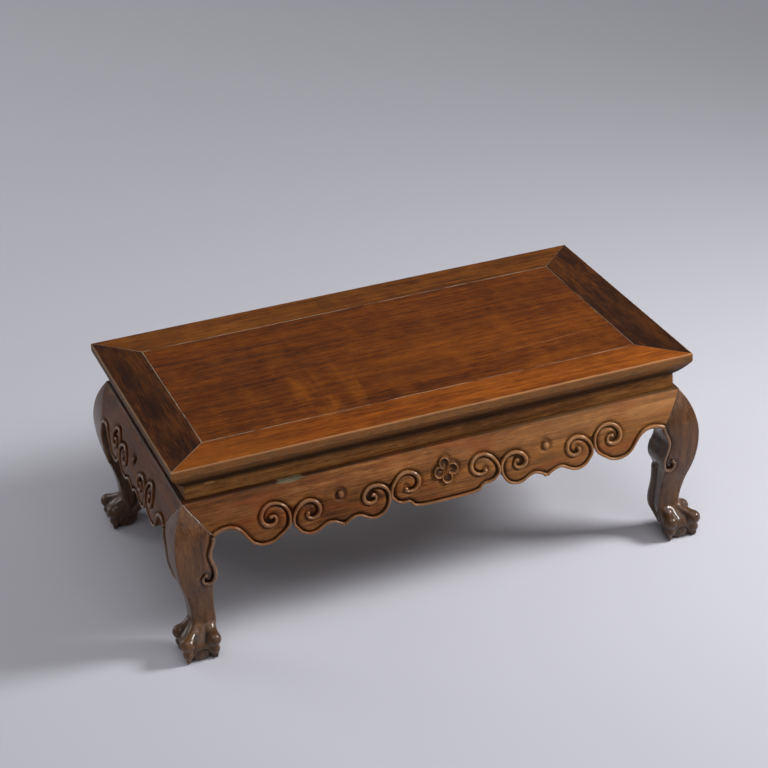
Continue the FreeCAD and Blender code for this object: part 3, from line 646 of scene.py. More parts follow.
# %% The field of the foot
FOOT_MIDDLE, ANKLE_MIDDLE = 15.0, 28.0
BALL_RADIUS, BALL_HEIGHT = 21.2, 14.2
TOE_ROOT = (11.0, 50.0, 4.6)
NECK_MIDDLE, TOE_NECK = 20.0, (16.5, 40.0, 6.4)
TOE_CHAIN = [(25.5, 30.4, 10.1), (24.6, 22.4, 6.7), (25.8, 16.0, 7.4)]
CLAW, CLAW_THIN = [(25.6, 12.6, 6.0), (25.2, 6.0, 5.5)], 2.0
HEEL_TOP, HEEL_RADIUS, HEEL_FOOT = 47.0, 41.0, 9.0
SLEEVE_HALF, SLEEVE_FLARE, SLEEVE_ROUND = 14.2, 10.2, 11
ARCH_TOP, ARCH_BEND, ARCH_FOOT = 20.8, 0.0006, 13
TOE_BLEND, TOE_FILLET, CLAW_BLEND = 1.6, 1.4, 0.8
CREASE_SHADE, CREASE_WIDTH = 1.3, 1.9


def blended(first, second, width):
    """The smaller of two distances, rounded over where they are close: min(a, b) - width h^2 / 4, with
    h = 1 - |a - b| / width, not under 0."""
    near = np.clip(1 - np.abs(first - second) / width, 0, 1)
    return np.minimum(first, second) - width * near * near / 4


def tapered_rod(points, start, end, start_radius, end_radius):
    """Distance to a rod with round ends: from the nearest point of its middle line, less the radius there."""
    line = end - start
    share = np.clip(((points - start) @ line) / (line @ line), 0, 1)
    gap = np.linalg.norm(points - start - share[..., None] * line, axis=-1)
    return gap - start_radius - share * (end_radius - start_radius)


def heel_inset(height):
    """Inset of the leg's inner edge on the way down: under the ankle it sweeps out in a circular arc."""
    drop = np.clip(HEEL_TOP - height, 0, HEEL_RADIUS - 1)
    return inner_inset(height) - HEEL_RADIUS + np.sqrt(HEEL_RADIUS**2 - drop**2)


def leg_field(points):
    """Distance to the leg and its heel: a rounded square from the face's inset to the heel's."""
    height = points[..., 2]
    low, high = face_inset(height), heel_inset(height)
    corner = np.minimum(ANKLE_CORNER + 5 * smooth_step(54, 34, height), (high - low) / 2.2)
    past = np.clip(np.abs(points[..., :2] - ((low + high) / 2)[..., None]) - (
        (high - low) / 2 - corner)[..., None], 0, None)
    return np.maximum(np.linalg.norm(past, axis=-1) - corner, HEEL_FOOT - height)


def sleeve_field(points):
    """Distance to the sleeve: a rounded square that moves out under the ankle, widens like a trumpet and ends
    in a round arch on each side. A slanting plane cuts it at the heel."""
    height = points[..., 2]
    flare = smooth_step(SHAFT_FOOT, 26, height) ** 1.5
    middle = ANKLE_MIDDLE + (FOOT_MIDDLE + 1 - ANKLE_MIDDLE) * flare
    half = SLEEVE_HALF + SLEEVE_FLARE * flare - smooth_step(28, 18, height)
    corner = ANKLE_CORNER + SLEEVE_ROUND * flare
    aside = np.abs(points[..., :2] - middle[..., None])
    past = np.clip(aside - (half - corner)[..., None], 0, None)
    arch = np.maximum(ARCH_TOP - ARCH_BEND * aside.min(-1) ** 4, ARCH_FOOT)
    sleeve = np.maximum(np.linalg.norm(past, axis=-1) - corner, (arch - height) * 0.7)
    behind = (points[..., 0] + points[..., 1]) / math.sqrt(2) - math.sqrt(2) * (heel_inset(height) - 2.3)
    return np.maximum(sleeve, behind), flare


def toe_fields(points, way):
    """Distances to one toe, a chain of rods, and to its claw: a rod in stretched coordinates, thin from side
    to side and deep from front to back, like a hook."""
    chain = [(np.array([*(middle + out * way), up]), radius) for middle, (out, up, radius) in [
        (ANKLE_MIDDLE, TOE_ROOT), (NECK_MIDDLE, TOE_NECK)] + [(FOOT_MIDDLE, joint) for joint in TOE_CHAIN]]
    toe = np.full(points.shape[:-1], 99.0)
    for (start, start_radius), (end, end_radius) in zip(chain[:-1], chain[1:]):
        toe = blended(toe, tapered_rod(points, start, end, start_radius, end_radius), TOE_BLEND)
    out = (points[..., :2] - FOOT_MIDDLE) @ way
    aside = (points[..., :2] - FOOT_MIDDLE) @ np.array([-way[1], way[0]])
    stretched = np.stack([out, CLAW_THIN * aside, points[..., 2]], -1)
    start, end = [np.array([out, 0, up]) for out, up, _ in CLAW]
    return toe, tapered_rod(stretched, start, end, CLAW[0][2], CLAW[1][2]) / CLAW_THIN


def foot_fields(points):
    """Signed distances, near enough, to the paw and to its ball, at points (inset x, inset y, height)."""
    height = points[..., 2]
    sleeve, flare = sleeve_field(points)
    wood = blended(leg_field(points), sleeve, 0.01 + 5 * flare)
    soft = TOE_FILLET + 4 * smooth_step(23, 36, height) * smooth_step(SHAFT_FOOT, 50, height)
    for way in ((-1, -1), (-1, 1), (1, -1)):
        toe, claw = toe_fields(points, np.array(way) / math.sqrt(2))
        wood = blended(blended(wood, toe, soft), claw, CLAW_BLEND)
    ball = np.linalg.norm(points - np.array([FOOT_MIDDLE, FOOT_MIDDLE, BALL_HEIGHT]), axis=-1) - BALL_RADIUS
    return wood, ball


# %% Rays to the skin of the foot
def foot_slices(direction, height):
    """Rings where rays leave the wood: the field at even steps along each ray, and its last change of sign
    found between two steps by proportion."""
    middle = FOOT_MIDDLE + 2 + (ANKLE_MIDDLE - FOOT_MIDDLE - 2) * smooth_step(27, 50, height)
    reach = np.linspace(2.0, 46.0, 72)
    way = np.stack([np.cos(direction), np.sin(direction)], -1)
    rings = np.empty((len(height), len(direction), 2))
    for block in np.array_split(np.arange(len(height)), 12):
        rays = middle[block, None, None, None] + way[:, None] * reach[:, None]
        points = lifted(rays, height[block])
        field = blended(*foot_fields(points), 0.4)
        inside = field < 0
        last = len(reach) - 1 - np.argmax(inside[..., ::-1], -1)
        last = np.clip(np.where(inside.any(-1), last, 0), 0, len(reach) - 2)[..., None]
        here, there = np.take_along_axis(field, last, -1), np.take_along_axis(field, last + 1, -1)
        share = np.clip(here / np.where(here == there, 1, here - there), 0, 1)
        out = reach[last[..., 0]] + share[..., 0] * (reach[1] - reach[0])
        rings[block] = middle[block, None, None] + out[..., None] * way
    return rings


def raised_parts(rings):
    """How far each point stands out: its distance from the middle of its ring, less the average of that over
    a few points each way."""
    out = np.linalg.norm(rings - rings.mean(1, keepdims=True), axis=-1)
    soft = out.copy()
    for _ in range(4):
        soft = (np.roll(soft, 2, 1) + np.roll(soft, -2, 1) + soft) / 3
        padded = np.concatenate([soft[:1], soft[:1], soft, soft[-1:], soft[-1:]])
        soft = (padded[:-4] + padded[4:] + soft) / 3
    return out - soft


def ball_crease(rings, height):
    """Dark where the ball meets the paw, which is where both distances are alike, and fading to both
    sides."""
    paw, ball = foot_fields(lifted(rings, height))
    return CREASE_SHADE * bell(paw - ball, CREASE_WIDTH)


# %% Put one leg together
shaft_height = np.concatenate([[LEDGE - 0.05], np.arange(LEDGE - 1.5, SHAFT_FOOT, -1.5)])
foot_height = np.concatenate([np.arange(SHAFT_FOOT, 0.4, -0.55), [0.0]])
body_height = np.concatenate([shaft_height, foot_height])
body, body_way = leg_slices(body_height)
carved, body_hollow = carve_leg(body, body_way, body_height)
kept = np.where(body_way.max(-1) > INSIDE, smooth_step(20, 44, body_height)[:, None],
                smooth_step(36, 50, body_height)[:, None])
offset = (carved - body) * kept[..., None]
ankle_way = np.arctan2(*(leg_slices(np.array([SHAFT_FOOT]))[0][0] - ANKLE_MIDDLE).T[::-1])
body[len(shaft_height):] = foot_slices(ankle_way, foot_height)
foot = body[len(shaft_height):]
foot_hollow = np.clip(ball_crease(foot, foot_height) - raised_parts(foot) / 1.1, -0.3, 1.2)
foot_hollow = foot_hollow * smooth_step(SHAFT_FOOT, SHAFT_FOOT - 8, foot_height)[:, None]
body_hollow = body_hollow * kept
body_hollow[len(shaft_height):] += foot_hollow
body += offset
print("slices of a leg:", len(shaft_height), "and of its foot:", len(foot_height))

POST_SLICES = np.array([192.4, 192.8, 230.0, 258.2, 258.6])
post_size = np.array([0.4, 0.0, 0.0, 0.0, 0.4])
POST_LOW, POST_HIGH = 30.2, 60.0


def post_rings(count=6):
    """The square tenon post behind the aprons, its edges eased at both ends."""
    turn, corners = np.arange(0, 4, 1 / count), np.array([(0, 0), (1, 0), (1, 1), (0, 1), (0, 0)])
    square = np.stack([np.interp(turn, range(5), corners[:, axis]) for axis in (0, 1)], -1)
    low, high = (POST_LOW + post_size)[:, None, None], (POST_HIGH - post_size)[:, None, None]
    return low + (high - low) * square


def leg_rod(order):
    """The bead on a leg's front face, or on its side face where the order of the insets is swapped."""
    inset, height = leg_bead.T
    centre = np.stack([inset, face_inset(height) + BEAD_SINK, height], -1)
    rings, hollow = rod(centre[:, order], face_normal((0, -1), height)[:, order], ("cut", "free"))
    return rings, hollow


# %% Make the four legs
CORNERS = {"front_left": (-1, -1), "front_right": (1, -1), "back_right": (1, 1), "back_left": (-1, 1)}
body, post = lifted(body, body_height), lifted(post_rings(), POST_SLICES)
skins = [(body, body_hollow), (post, 0.3), leg_rod([0, 1, 2]), leg_rod([1, 0, 2])]
legs = {}
for corner, signs in CORNERS.items():
    legs[corner] = make_piece("leg_%s_carved" % corner, [
        closed_skin(at_corner(signs, rings), hollow) for rings, hollow in skins])
    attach(legs[corner], "root")
    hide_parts("leg_%s" % corner)

# %% [markdown]
# ## Finishes written as arithmetic
#
# A material is a net of nodes. Wiring them one by one hides the idea, so a small class wraps a socket and
# lets plus, minus and times add the Math nodes. One method adds any other node, and another paints: it lays
# a colour over what is there, by a share that may differ from place to place.


# %% Sockets that can be added and multiplied
class Shade:
    """A socket in a material. Arithmetic on it adds Math nodes, and a number may stand on either side."""

    def __init__(self, finish, socket):
        self.finish, self.socket = finish, socket

    def __add__(self, other):
        return self.finish.math("ADD", self, other)

    def __sub__(self, other):
        return self.finish.math("SUBTRACT", self, other)

    def __mul__(self, other):
        return self.finish.math("MULTIPLY", self, other)

    def __rsub__(self, other):
        return self.finish.math("SUBTRACT", other, self)

    def __abs__(self):
        return self.finish.math("ABSOLUTE", self)

    __radd__ = __add__
    __rmul__ = __mul__


class Finish:
    """The nodes of a material or of the surround under construction. seen and rough are the colour and the
    roughness so far."""

    def __init__(self, owner):
        owner.use_nodes = True
        self.owner, self.tree = owner, owner.node_tree
        self.tree.nodes.clear()

    def node(self, kind, settings, *values, out=0, **named):
        """Adds a node: its settings first, then a value or a link for each socket, by place or by name."""
        made = self.tree.nodes.new(kind)
        for key, value in settings.items():
            if key == "stops":
                ramp = made.color_ramp
                while len(ramp.elements) < len(value):
                    ramp.elements.new(0.5)
                for stop, (position, colour) in zip(ramp.elements, value):
                    stop.position, stop.color = position, colour
            else:
                setattr(made, key, value)
        for place, value in [*enumerate(values), *named.items()]:
            if isinstance(value, Shade):
                self.tree.links.new(value.socket, made.inputs[place])
            elif value is not None:
                made.inputs[place].default_value = value
        return Shade(self, made.outputs[out])

    def math(self, operation, *values):
        return self.node("ShaderNodeMath", {"operation": operation}, *values)

    def mix(self, share, first, second):
        """Colours go through a Mix node, whose colour sockets are the seventh and the eighth."""
        settings = {"data_type": "RGBA", "blend_type": "MIX", "clamp_factor": True}
        return self.node("ShaderNodeMix", settings, share, None, None, None, None, None, first, second, out=2)

    def paint(self, share, tone):
        self.seen = self.mix(share, self.seen, tone)

    def rise(self, value, low, high):
        """0 where a value is below low, 1 above high, smooth between."""
        smooth = {"interpolation_type": "SMOOTHSTEP"}
        return self.node("ShaderNodeMapRange", smooth, value, low, high, 0.0, 1.0)

    def fall(self, value, low, high):
        return 1 - self.rise(value, low, high)

    def noise(self, start, scale, detail, roughness=0.5, distortion=0.0, turn=0.0):
        """Noise over the object, moved, turned about the vertical and scaled along each axis."""
        place = self.node("ShaderNodeMapping", {}, self.place, start, (0, 0, turn), scale)
        return self.node("ShaderNodeTexNoise", {}, Vector=place, Scale=1.0, Detail=detail,
                         Roughness=roughness, Distortion=distortion)

    def ragged(self, value, by_cloud, by_fibre=0.0):
        """A value made uneven, slowly by the cloud noise and finely by the fibre noise."""
        if by_fibre:
            value = value + by_fibre * (self.fibre - 0.5)
        return value + by_cloud * (self.cloud - 0.5) if by_cloud else value

    def end(self, kind, shader):
        self.tree.links.new(shader.socket, self.tree.nodes.new(kind).inputs["Surface"])
        return self.owner

    def surface(self, **sockets):
        """The finished material, with names like Base_Color for the sockets of its shader."""
        named = {key.replace("_", " "): value for key, value in sockets.items()}
        return self.end("ShaderNodeOutputMaterial", self.node("ShaderNodeBsdfPrincipled", {}, **named))


def colour(red, green, blue):
    """A colour as seen on a screen, 0 to 255, as the linear light that shaders mix: two pieces of the
    standard curve."""
    shares = np.array([red, green, blue]) / 255
    linear = np.where(shares > 0.04045, ((shares + 0.055) / 1.055) ** 2.4, shares / 12.92)
    return (*linear.tolist(), 1.0)


# %% [markdown]
# ## Old hardwood
#
# The wood is dense and oily, with soft streaks, fine fibres and short dark pores along each board. Each is
# a noise stretched along the grain: a pore is a third of a millimetre wide and several long, a streak a few
# millimetres wide and a hand's breadth long. The raised edges are painted paler, for the polish of hands
# and as painted highlight, and the hollows darker, for wax and dust and as painted shade.

# %% Wood
GRAIN = {"X": 0, "Y": 1, "Z": 2}
# The dark colour paints grime and dark joints, and also painted shade in the carving, under the frame and in
# its undercut. The pale one paints wear, and also painted highlights on crests, knuckles and the rim of the
# top.
DIRT_AND_SHADE, WEAR_AND_HIGHLIGHT, DUST = colour(22, 12, 7), colour(180, 136, 94), colour(178, 158, 134)


def wood(name, grain, tones, seed, patina, patina_share, gloss, coat=0.0, wear_and_highlight_share=None, details=(),
         shine=0.1):
    """Wood whose grain runs along an axis. tones are its dark, middle and light colours. When a share for
    the hollow values is given, they paint the ground darker, as grime and as painted shade, and the raised
    edges paler by that share, as wear and as painted highlight. details are functions that draw more on top."""
    finish = Finish(bpy.data.materials.new(name))
    finish.place = finish.node("ShaderNodeTexCoord", {}, out="Object")

    def stretched(along, across, *look, shift=0.0):
        scale = [across] * 3
        scale[GRAIN[grain]] = along
        return finish.noise((seed + shift, seed * 1.7, seed * 0.6), tuple(scale), *look)

    band = stretched(1.8, 21.0, 3.0, 0.5, 0.5)
    streak = stretched(6.5, 140.0, 4.0, 0.6, 0.3)
    fibre = finish.fibre = stretched(38.0, 640.0, 3.0, 0.65)
    shimmer = stretched(34.0, 48.0, 3.0, 0.6)
    fleck = finish.rise(stretched(46.0, 420.0, 2.0, shift=3.0), 0.60, 0.70)
    pore = finish.rise(stretched(110.0, 2500.0, 1.0), 0.58, 0.68)
    cloud = finish.cloud = stretched(7.0, 13.0, 4.0, 0.6)
    blush = stretched(10.0, 17.0, 4.0, 0.65, shift=8.0)
    tone = band * 0.26 + streak * 0.32 + fibre * 0.32 + shimmer * 0.10
    dark, middle, light = (colour(*tone) for tone in tones)
    stops = [(0.40, dark), (0.5, middle), (0.60, light)]
    finish.seen = finish.node("ShaderNodeValToRGB", {"stops": stops}, tone)
    finish.paint(finish.rise(blush, 0.5, 0.68) * 0.3, light)
    finish.paint(finish.rise(cloud, 0.45, 0.68) * patina_share, patina)
    finish.paint(finish.math("MAXIMUM", pore * 0.4, fleck * 0.6), dark)
    finish.rough = gloss + 0.12 * finish.rise(streak, 0.35, 0.7) + 0.14 * finish.rise(cloud, 0.4, 0.7)
    height = 0.6 * fibre + 0.4 * streak + 1.0 * shimmer - 0.7 * pore
    if wear_and_highlight_share is not None:
        hollow = finish.node("ShaderNodeAttribute", {"attribute_name": "hollow"}, out="Fac")
        # The hollow values paint the ground darker, as grime and as painted shade, and the raised edges
        # paler, as wear and as painted highlight.
        dirt_and_shade = finish.rise(finish.ragged(hollow, 0.8) + 0.5 * (shimmer - 0.5), 0.12, 0.9)
        worn = finish.rise(0.0 - hollow + 0.8 * (shimmer - 0.5), 0.3, 1.0)
        finish.paint(dirt_and_shade * 0.88, DIRT_AND_SHADE)
        finish.paint(worn * wear_and_highlight_share, WEAR_AND_HIGHLIGHT)
        finish.rough = finish.rough + 0.2 * dirt_and_shade - 0.14 * worn
        coat = worn * 0.45 + coat
    position = [finish.node("ShaderNodeSeparateXYZ", {}, finish.place, out=axis) for axis in "XYZ"]
    for detail in details:
        detail(finish, *position)
    bump = finish.node("ShaderNodeBump", {}, Strength=0.35, Distance=0.0006, Height=height)
    return finish.surface(Base_Color=finish.seen, Roughness=finish.rough, Normal=bump,
                          Specular_IOR_Level=shine, Coat_Weight=coat, Coat_Roughness=0.15)


# %% [markdown]
# ## Dust in the joints
#
# The joints round the panel and the mitres show as thin pale lines of dust and wax. They are drawn by
# arithmetic on the place: how far a point is from the panel's edge and from the diagonal of a corner. A
# hairline crack is the distance to a slightly crooked line. The rim of the top is painted pale, for wear and
# as a painted highlight along the arris, the undercut below gets painted shade, and the top's sides are a
# duller, open-pored tan.

# %% Lines and edges of the top
PANEL_HALF_LENGTH, PANEL_HALF_WIDTH = 0.315, 0.146
CRACK_START, CRACK_END = (0.287, -0.074), (0.118, -0.088)
SHEEN_PLACE, AMBER_FIGURE_AND_SHEEN = (-0.14, -0.085), colour(164, 92, 20)
EDGE_TAN = colour(118, 88, 56)
UNDERCUT_LOW, UNDERCUT_HIGH = 0.266, 0.2775
TOP_LEVEL, LEDGE_LEVEL, MITRE_LEVEL = TABLE_TOP * MM, LEDGE * MM, MITRE_FOOT * MM
REACH_X, REACH_Y = HALF_LENGTH * MM, HALF_WIDTH * MM


def top_lines(finish, x, y, z):
    """Pale lines where a point of the top is on a joint, broken up by the fibre; pale edges of the rim, for
    wear and as a painted highlight; and painted shade in the undercut of the moulding.
    """
    past_x, past_y = abs(x) - PANEL_HALF_LENGTH, abs(y) - PANEL_HALF_WIDTH
    panel_edge = abs(finish.math("MAXIMUM", past_x, past_y))
    outside = finish.rise(finish.math("MINIMUM", past_x, past_y), -0.0006, 0.0)
    mitre = abs(past_x - past_y) + (1 - outside)
    level = finish.rise(z, TOP_LEVEL - 0.003, TOP_LEVEL - 0.001)
    off = finish.ragged(finish.math("MINIMUM", panel_edge, mitre), 0.0012, 0.0008)
    line = finish.fall(off, 0.00035, 0.0010) * level
    side = finish.fall(z, TOP_LEVEL - 0.0035, TOP_LEVEL - 0.0015)
    finish.paint(side * (0.35 + 0.6 * finish.rise(finish.fibre, 0.4, 0.6)), EDGE_TAN)
    finish.paint(side * finish.rise(finish.fibre, 0.52, 0.62) * 0.55, DIRT_AND_SHADE)
    # Painted shade in the undercut under the moulding.
    finish.paint(finish.fall(finish.ragged(z, 0.004), UNDERCUT_LOW, UNDERCUT_HIGH) * 0.8, DIRT_AND_SHADE)
    # The rim is painted pale, for wear and as a painted highlight along the arris.
    to_edge = finish.math("MINIMUM", REACH_X - abs(x), REACH_Y - abs(y))
    rubbed_and_lit = finish.fall(finish.ragged(to_edge, 0.002), 0.0006, 0.0022) * finish.rise(z, 0.2895, 0.292)
    finish.paint(rubbed_and_lit * 0.55, WEAR_AND_HIGHLIGHT)
    bare = finish.math("MAXIMUM", finish.rise(x, 0.29, 0.33) * 0.75, finish.rise(y, 0.155, 0.17) * 0.6)
    dust = line * finish.rise(finish.ragged(finish.cloud, 0, 0.8), 0.34, 0.52) * (1 - bare)
    finish.paint(line * 0.5, DIRT_AND_SHADE)
    finish.paint(dust * 0.85, DUST)
    (ax, ay), (bx, by) = CRACK_START, CRACK_END
    crooked = 0.0012 * (finish.noise((0, 0, 0), (60, 60, 60), 3.0) - 0.5)
    off = abs(y - ay - (by - ay) / (bx - ax) * (x - ax) + crooked)
    crack = finish.fall(off, 0.0001, 0.0004) * finish.rise(x, bx, bx + 0.02) * finish.fall(x, ax - 0.02, ax)
    finish.paint(crack * level * 0.6, WEAR_AND_HIGHLIGHT)
    finish.rough = finish.rough + 0.3 * line + 0.1 * side


def ripple_and_sheen(finish, x, y, z):
    """Amber bars across the grain where the fibres dip, faint all over, and a painted sheen of light, strong
    in one place near the left end of the front."""
    bars = finish.noise((2, 5, 0), (44, 14, 1), 2.0, 0.5, 0.3, turn=0.3)
    # The spot near the left end of the front is a painted sheen of light.
    near = (finish.fall(abs(x - SHEEN_PLACE[0]), 0.035, 0.1)
            * finish.fall(abs(y - SHEEN_PLACE[1]), 0.04, 0.085))
    finish.paint(finish.rise(finish.ragged(bars, 0, 0.6), 0.4, 0.8) * (0.14 + 0.3 * near), AMBER_FIGURE_AND_SHEEN)


# %% Lines of the aprons, the legs and the waist
CHIP = ((-0.214, 0.2348), (0.022, 0.0028))
KNOT = ((-0.320, 0.2545), (0.008, 0.0022))


def spindle(finish, x, y, z, middle, half):
    """1 inside an oval on the front, 0 outside, with an uneven rim: the sum of the squares of the shares of
    its half length and half height, compared with 1."""
    across, up = (x - middle[0]) * (1 / half[0]), (z - middle[1]) * (1 / half[1])
    out = finish.ragged(across * across + up * up, 1.6)
    return finish.fall(out, 0.7, 1.15) * finish.fall(y, -0.17, -0.16)


def mitre_lines(finish, x, y, z):
    """Dust in the mitre between apron and leg, whose inset falls with height in proportion, and the dark
    joint under the waist."""
    mitre = (MITRE_CORNER - (z - MITRE_LEVEL) * (MITRE_RUN / (LEDGE - MITRE_FOOT) / MM)) * MM
    off = finish.math("MINIMUM", abs(REACH_X - abs(x) - mitre), abs(REACH_Y - abs(y) - mitre))
    line = finish.fall(finish.ragged(off, 0.001, 0.0008), 0.0003, 0.0010)
    joint = finish.rise(finish.ragged(z, 0.0012), LEDGE_LEVEL - 0.0018, LEDGE_LEVEL - 0.0006)
    line = line * finish.rise(z, MITRE_LEVEL - 0.003, MITRE_LEVEL) * (1 - joint)
    finish.paint(joint * 0.85, DIRT_AND_SHADE)
    finish.paint(line * 0.4, DIRT_AND_SHADE)
    finish.paint(line * (1 - 0.8 * finish.rise(x, -0.1, 0.1)) * 0.7, DUST)
    finish.rough = finish.rough + 0.25 * line


def apron_stains_and_light(finish, x, y, z):
    """Towards the left end the aprons are painted a deeper red brown, as painted shade, and the right half
    paler, as painted light from the right. Long dark stains lie along the upper part, and redder streaks
    all over."""
    wavy = finish.ragged(x, 0.1)
    # Painted shade towards the left end, and painted light on the right half.
    finish.paint(finish.fall(wavy, -0.42, 0.02) * 0.45, colour(66, 28, 2))
    finish.paint(finish.rise(wavy, -0.2, 0.3) * finish.fall(x, 0.35, 0.37) * 0.25, colour(160, 114, 68))
    stain = finish.noise((3, 1, 2), (6, 6, 34), 4.0, 0.6, 0.8)
    dark = finish.rise(finish.ragged(stain, 0, 0.15), 0.5, 0.62) * finish.rise(z, 0.185, 0.225)
    finish.paint(finish.fall(stain, 0.36, 0.47) * 0.35, colour(126, 54, 20))
    finish.paint(dark * 0.5, colour(56, 27, 10))
    finish.rough = finish.rough + 0.06 * dark


def chip(finish, x, y, z):
    """A sliver let into the top of the front apron where the edge broke away, in a paler, greener wood."""
    inside = spindle(finish, x, y, z, *CHIP)
    sliver = finish.mix(finish.rise(finish.fibre, 0.42, 0.58), colour(66, 60, 44), colour(112, 108, 84))
    finish.paint(inside * 0.75, sliver)
    finish.rough = finish.rough + 0.15 * inside


def knot(finish, x, y, z):
    """A small pale knot near the left end of the front waist, grime along the waist's foot, and painted shade
    along its top, under the frame.
    """
    finish.paint(finish.fall(finish.ragged(z, 0.001), LEDGE_LEVEL + 0.0004, LEDGE_LEVEL + 0.0022) * 0.6, DIRT_AND_SHADE)
    # Painted shade along the top of the waist, under the frame.
    finish.paint(finish.rise(finish.ragged(z, 0.003), 0.251, 0.2585) * 0.7, DIRT_AND_SHADE)
    finish.paint(spindle(finish, x, y, z, *KNOT) * 0.8, colour(158, 112, 66))


def darker_feet_and_right_legs(finish, x, y, z):
    """The feet are painted a darker, duller olive brown towards the floor, and the legs on the right get
    painted shade, darker than those on the left."""
    # Painted shade on the legs on the right.
    finish.paint(finish.rise(x, -0.1, 0.1) * 0.3, colour(46, 28, 14))
    low = finish.fall(finish.ragged(z, 0.02), 0.025, 0.075)
    finish.paint(low * 0.45, colour(62, 45, 28))
    finish.rough = finish.rough + 0.04 * low


# %% Mix the finishes
PATINA, APRON_PATINA = colour(80, 58, 36), colour(86, 54, 24)
PANEL_PATINA, FRAME_PATINA = colour(96, 50, 18), colour(90, 54, 24)
PANEL_TONES = [(54, 23, 4), (94, 44, 7), (126, 66, 14)]
LONG_TONES = [(84, 38, 6), (136, 69, 14), (168, 93, 28)]
BACK_TONES = [(58, 28, 6), (104, 56, 14), (134, 80, 28)]
END_TONES = [(28, 11, 3), (47, 21, 5), (80, 41, 12)]
WAIST_TONES = [(68, 40, 14), (114, 70, 32), (150, 102, 54)]
APRON_TONES = [(70, 38, 14), (126, 76, 33), (162, 109, 60)]
LEG_TONES = [(58, 34, 18), (98, 62, 34), (124, 82, 48)]

SIDE_SEED, SIDE_STEP = 20.5, 3.1
finishes = {
    "top_panel": wood("panel_hardwood", "X", PANEL_TONES, 1.3, PANEL_PATINA, 0.3, 0.34,
                      details=[ripple_and_sheen, top_lines]),
    "leg": wood("leg_hardwood", "Z", LEG_TONES, 2.8, PATINA, 0.35, 0.22, 0.4, 0.22,
                [mitre_lines, darker_feet_and_right_legs], 0.2),
    "brace": wood("brace_hardwood", "Y", END_TONES, 12.0, PATINA, 0.3, 0.55),
}
for name, grain, seed, share in (("waist_long", "X", 9.1, 0.3), ("waist_short", "Y", 9.7, 0.35)):
    finishes[name] = wood(name + "_hardwood", grain, WAIST_TONES, seed, PATINA, share, 0.42, details=[knot])
for name, grain, seed, share, more in (
        ("apron_long", "X", 4.4, 0.35, []), ("apron_front", "X", 5.3, 0.35, [chip]),
        ("apron_short", "Y", 6.2, 0.4, [])):
    finishes[name] = wood(name + "_hardwood", grain, APRON_TONES, seed, APRON_PATINA, share, 0.3, 0.08, 0.3,
                          [mitre_lines, apron_stains_and_light, *more], 0.12)
for number, (side, tones) in enumerate(zip(SIDES, (LONG_TONES, END_TONES, BACK_TONES, END_TONES))):
    finishes["top_frame_" + side] = wood(
        "frame_%s_hardwood" % side, "X" if side in ("front", "back") else "Y", tones,
        SIDE_SEED + SIDE_STEP * number, FRAME_PATINA, 0.3, 0.34, details=[ripple_and_sheen, top_lines])
print("finishes:", sorted(finishes))

# %% Put the finishes on
SHARED = {"waist_front": "waist_long", "waist_back": "waist_long", "waist_left": "waist_short",
          "waist_right": "waist_short", "panel_brace_left": "brace", "panel_brace_right": "brace"}
CARVED = {"front": "apron_front", "back": "apron_long", "left": "apron_short", "right": "apron_short"}
for name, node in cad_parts.items():
    if SHARED.get(name, name) in finishes:
        node.data.materials[0] = finishes[SHARED.get(name, name)]
for side, piece in aprons.items():
    piece.data.materials.append(finishes[CARVED[side]])
for piece in legs.values():
    piece.data.materials.append(finishes["leg"])

# %% [markdown]
# ## The studio
#
# The table stands on plain pale paper under soft light: one broad lamp high on the right, as in the
# picture, weaker ones to open up the shade, a soft light from above and an even surround. Together they
# light a level surface so that a colour comes out about as it is written. Cameras and mirrors see the pale
# surround, and other rays an even mix of it and the dim one.

# %% Floor and surround
FLOOR_REACH = 14.0
floor_mesh = bpy.data.meshes.new("studio_floor")
corners = [(x * FLOOR_REACH, y * FLOOR_REACH, 0) for x, y in ((-1, -1), (1, -1), (1, 1), (-1, 1))]
floor_mesh.from_pydata(corners, [], [(0, 1, 2, 3)])
floor = placed("studio_floor", floor_mesh)
paper = Finish(bpy.data.materials.new("studio_paper"))
floor_mesh.materials.append(paper.surface(
    Base_Color=colour(203, 203, 211), Roughness=0.9, Specular_IOR_Level=0.1))

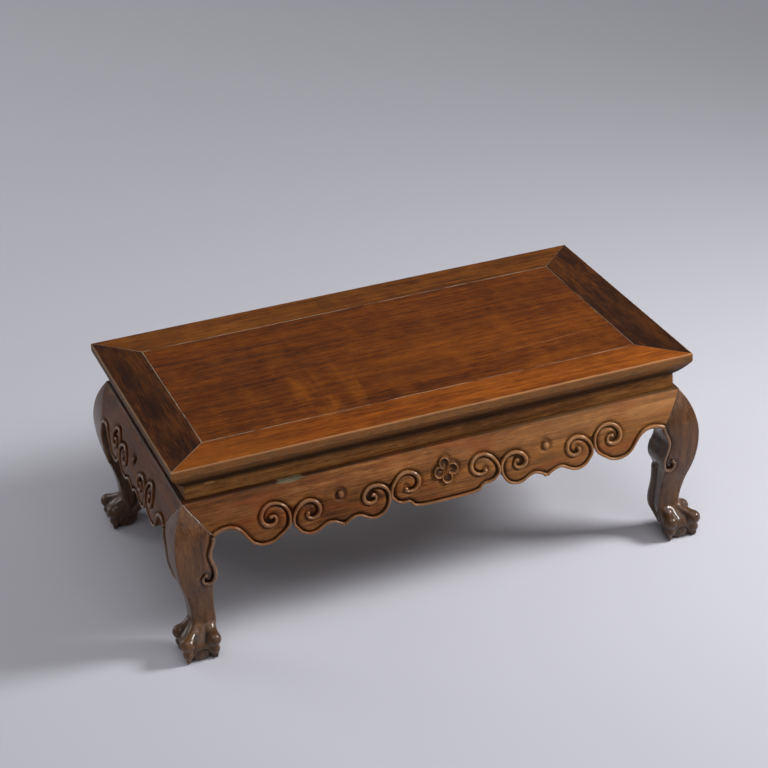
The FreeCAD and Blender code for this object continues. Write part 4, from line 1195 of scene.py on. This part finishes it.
surround = Finish(bpy.data.worlds.new("studio_surround"))
bpy.context.scene.world = surround.owner
dim = surround.node("ShaderNodeBackground", {}, colour(235, 232, 228), 0.12)
pale = surround.node("ShaderNodeBackground", {}, colour(124, 124, 129))
share = 0.5
for kind in ("Camera", "Glossy", "Transmission"):
    share = surround.math("MAXIMUM", surround.node("ShaderNodeLightPath", {}, out="Is %s Ray" % kind), share)
surround.end("ShaderNodeOutputWorld", surround.node("ShaderNodeMixShader", {}, share, dim, pale))


# %% Light
def facing(thing, way):
    """Turns an object so that its back points a given way."""
    thing.rotation_euler = Vector(way).to_track_quat("Z", "Y").to_euler()


def lamp(name, place, size, power, spread=180):
    """A square area lamp that faces the table. A spread under half a turn is a grid over the lamp, which
    keeps its light off the floor next to it."""
    light = bpy.data.lights.new(name, "AREA")
    light.shape, light.size, light.energy, light.spread = "SQUARE", size, power, math.radians(spread)
    holder = placed(name, light)
    holder.location = place
    facing(holder, Vector(place) - Vector(LAMP_AIM))


LAMP_AIM = (0, 0, 0.15)
lamp("key_lamp_right", (2.15, -0.95, 1.62), 0.75, 19.5, 90)
lamp("soft_lamp_front", (0.8, -3.4, 1.5), 1.5, 5)
lamp("soft_lamp_back", (-2.6, 2.8, 1.6), 1.8, 26)
sky = bpy.data.lights.new("soft_light_above", "SUN")
sky.energy, sky.angle = 0.85, math.radians(50)
facing(placed("soft_light_above", sky), (-0.05, -0.5, 1))

# %% [markdown]
# ## The camera
#
# The camera stands where the photographer's did, left of the middle, looking down at the top, with a long
# lens tilted by three degrees. Its place and turn were worked out from the corners of the top.

# %% Camera
AZIMUTH, ELEVATION, ROLL = (math.radians(angle) for angle in (-19.619, 27.661, -3.217))
CAMERA_PLACE = Vector((-0.92867, -2.58940, 1.67843))
flat = math.cos(ELEVATION)
back = Vector((math.sin(AZIMUTH) * flat, -math.cos(AZIMUTH) * flat, math.sin(ELEVATION)))
level = (-back).cross(Vector((0, 0, 1))).normalized()
upright = level.cross(-back)
right = math.cos(ROLL) * level + math.sin(ROLL) * upright
up = -math.sin(ROLL) * level + math.cos(ROLL) * upright
lens = bpy.data.cameras.new("long_lens")
lens.sensor_width, lens.lens = 36.0, 102.59
camera = placed("long_lens", lens)
camera.matrix_world = Matrix.Translation(CAMERA_PLACE) @ Matrix((right, up, back)).transposed().to_4x4()
bpy.context.scene.camera = camera
bpy.context.scene.view_settings.view_transform = "Standard"
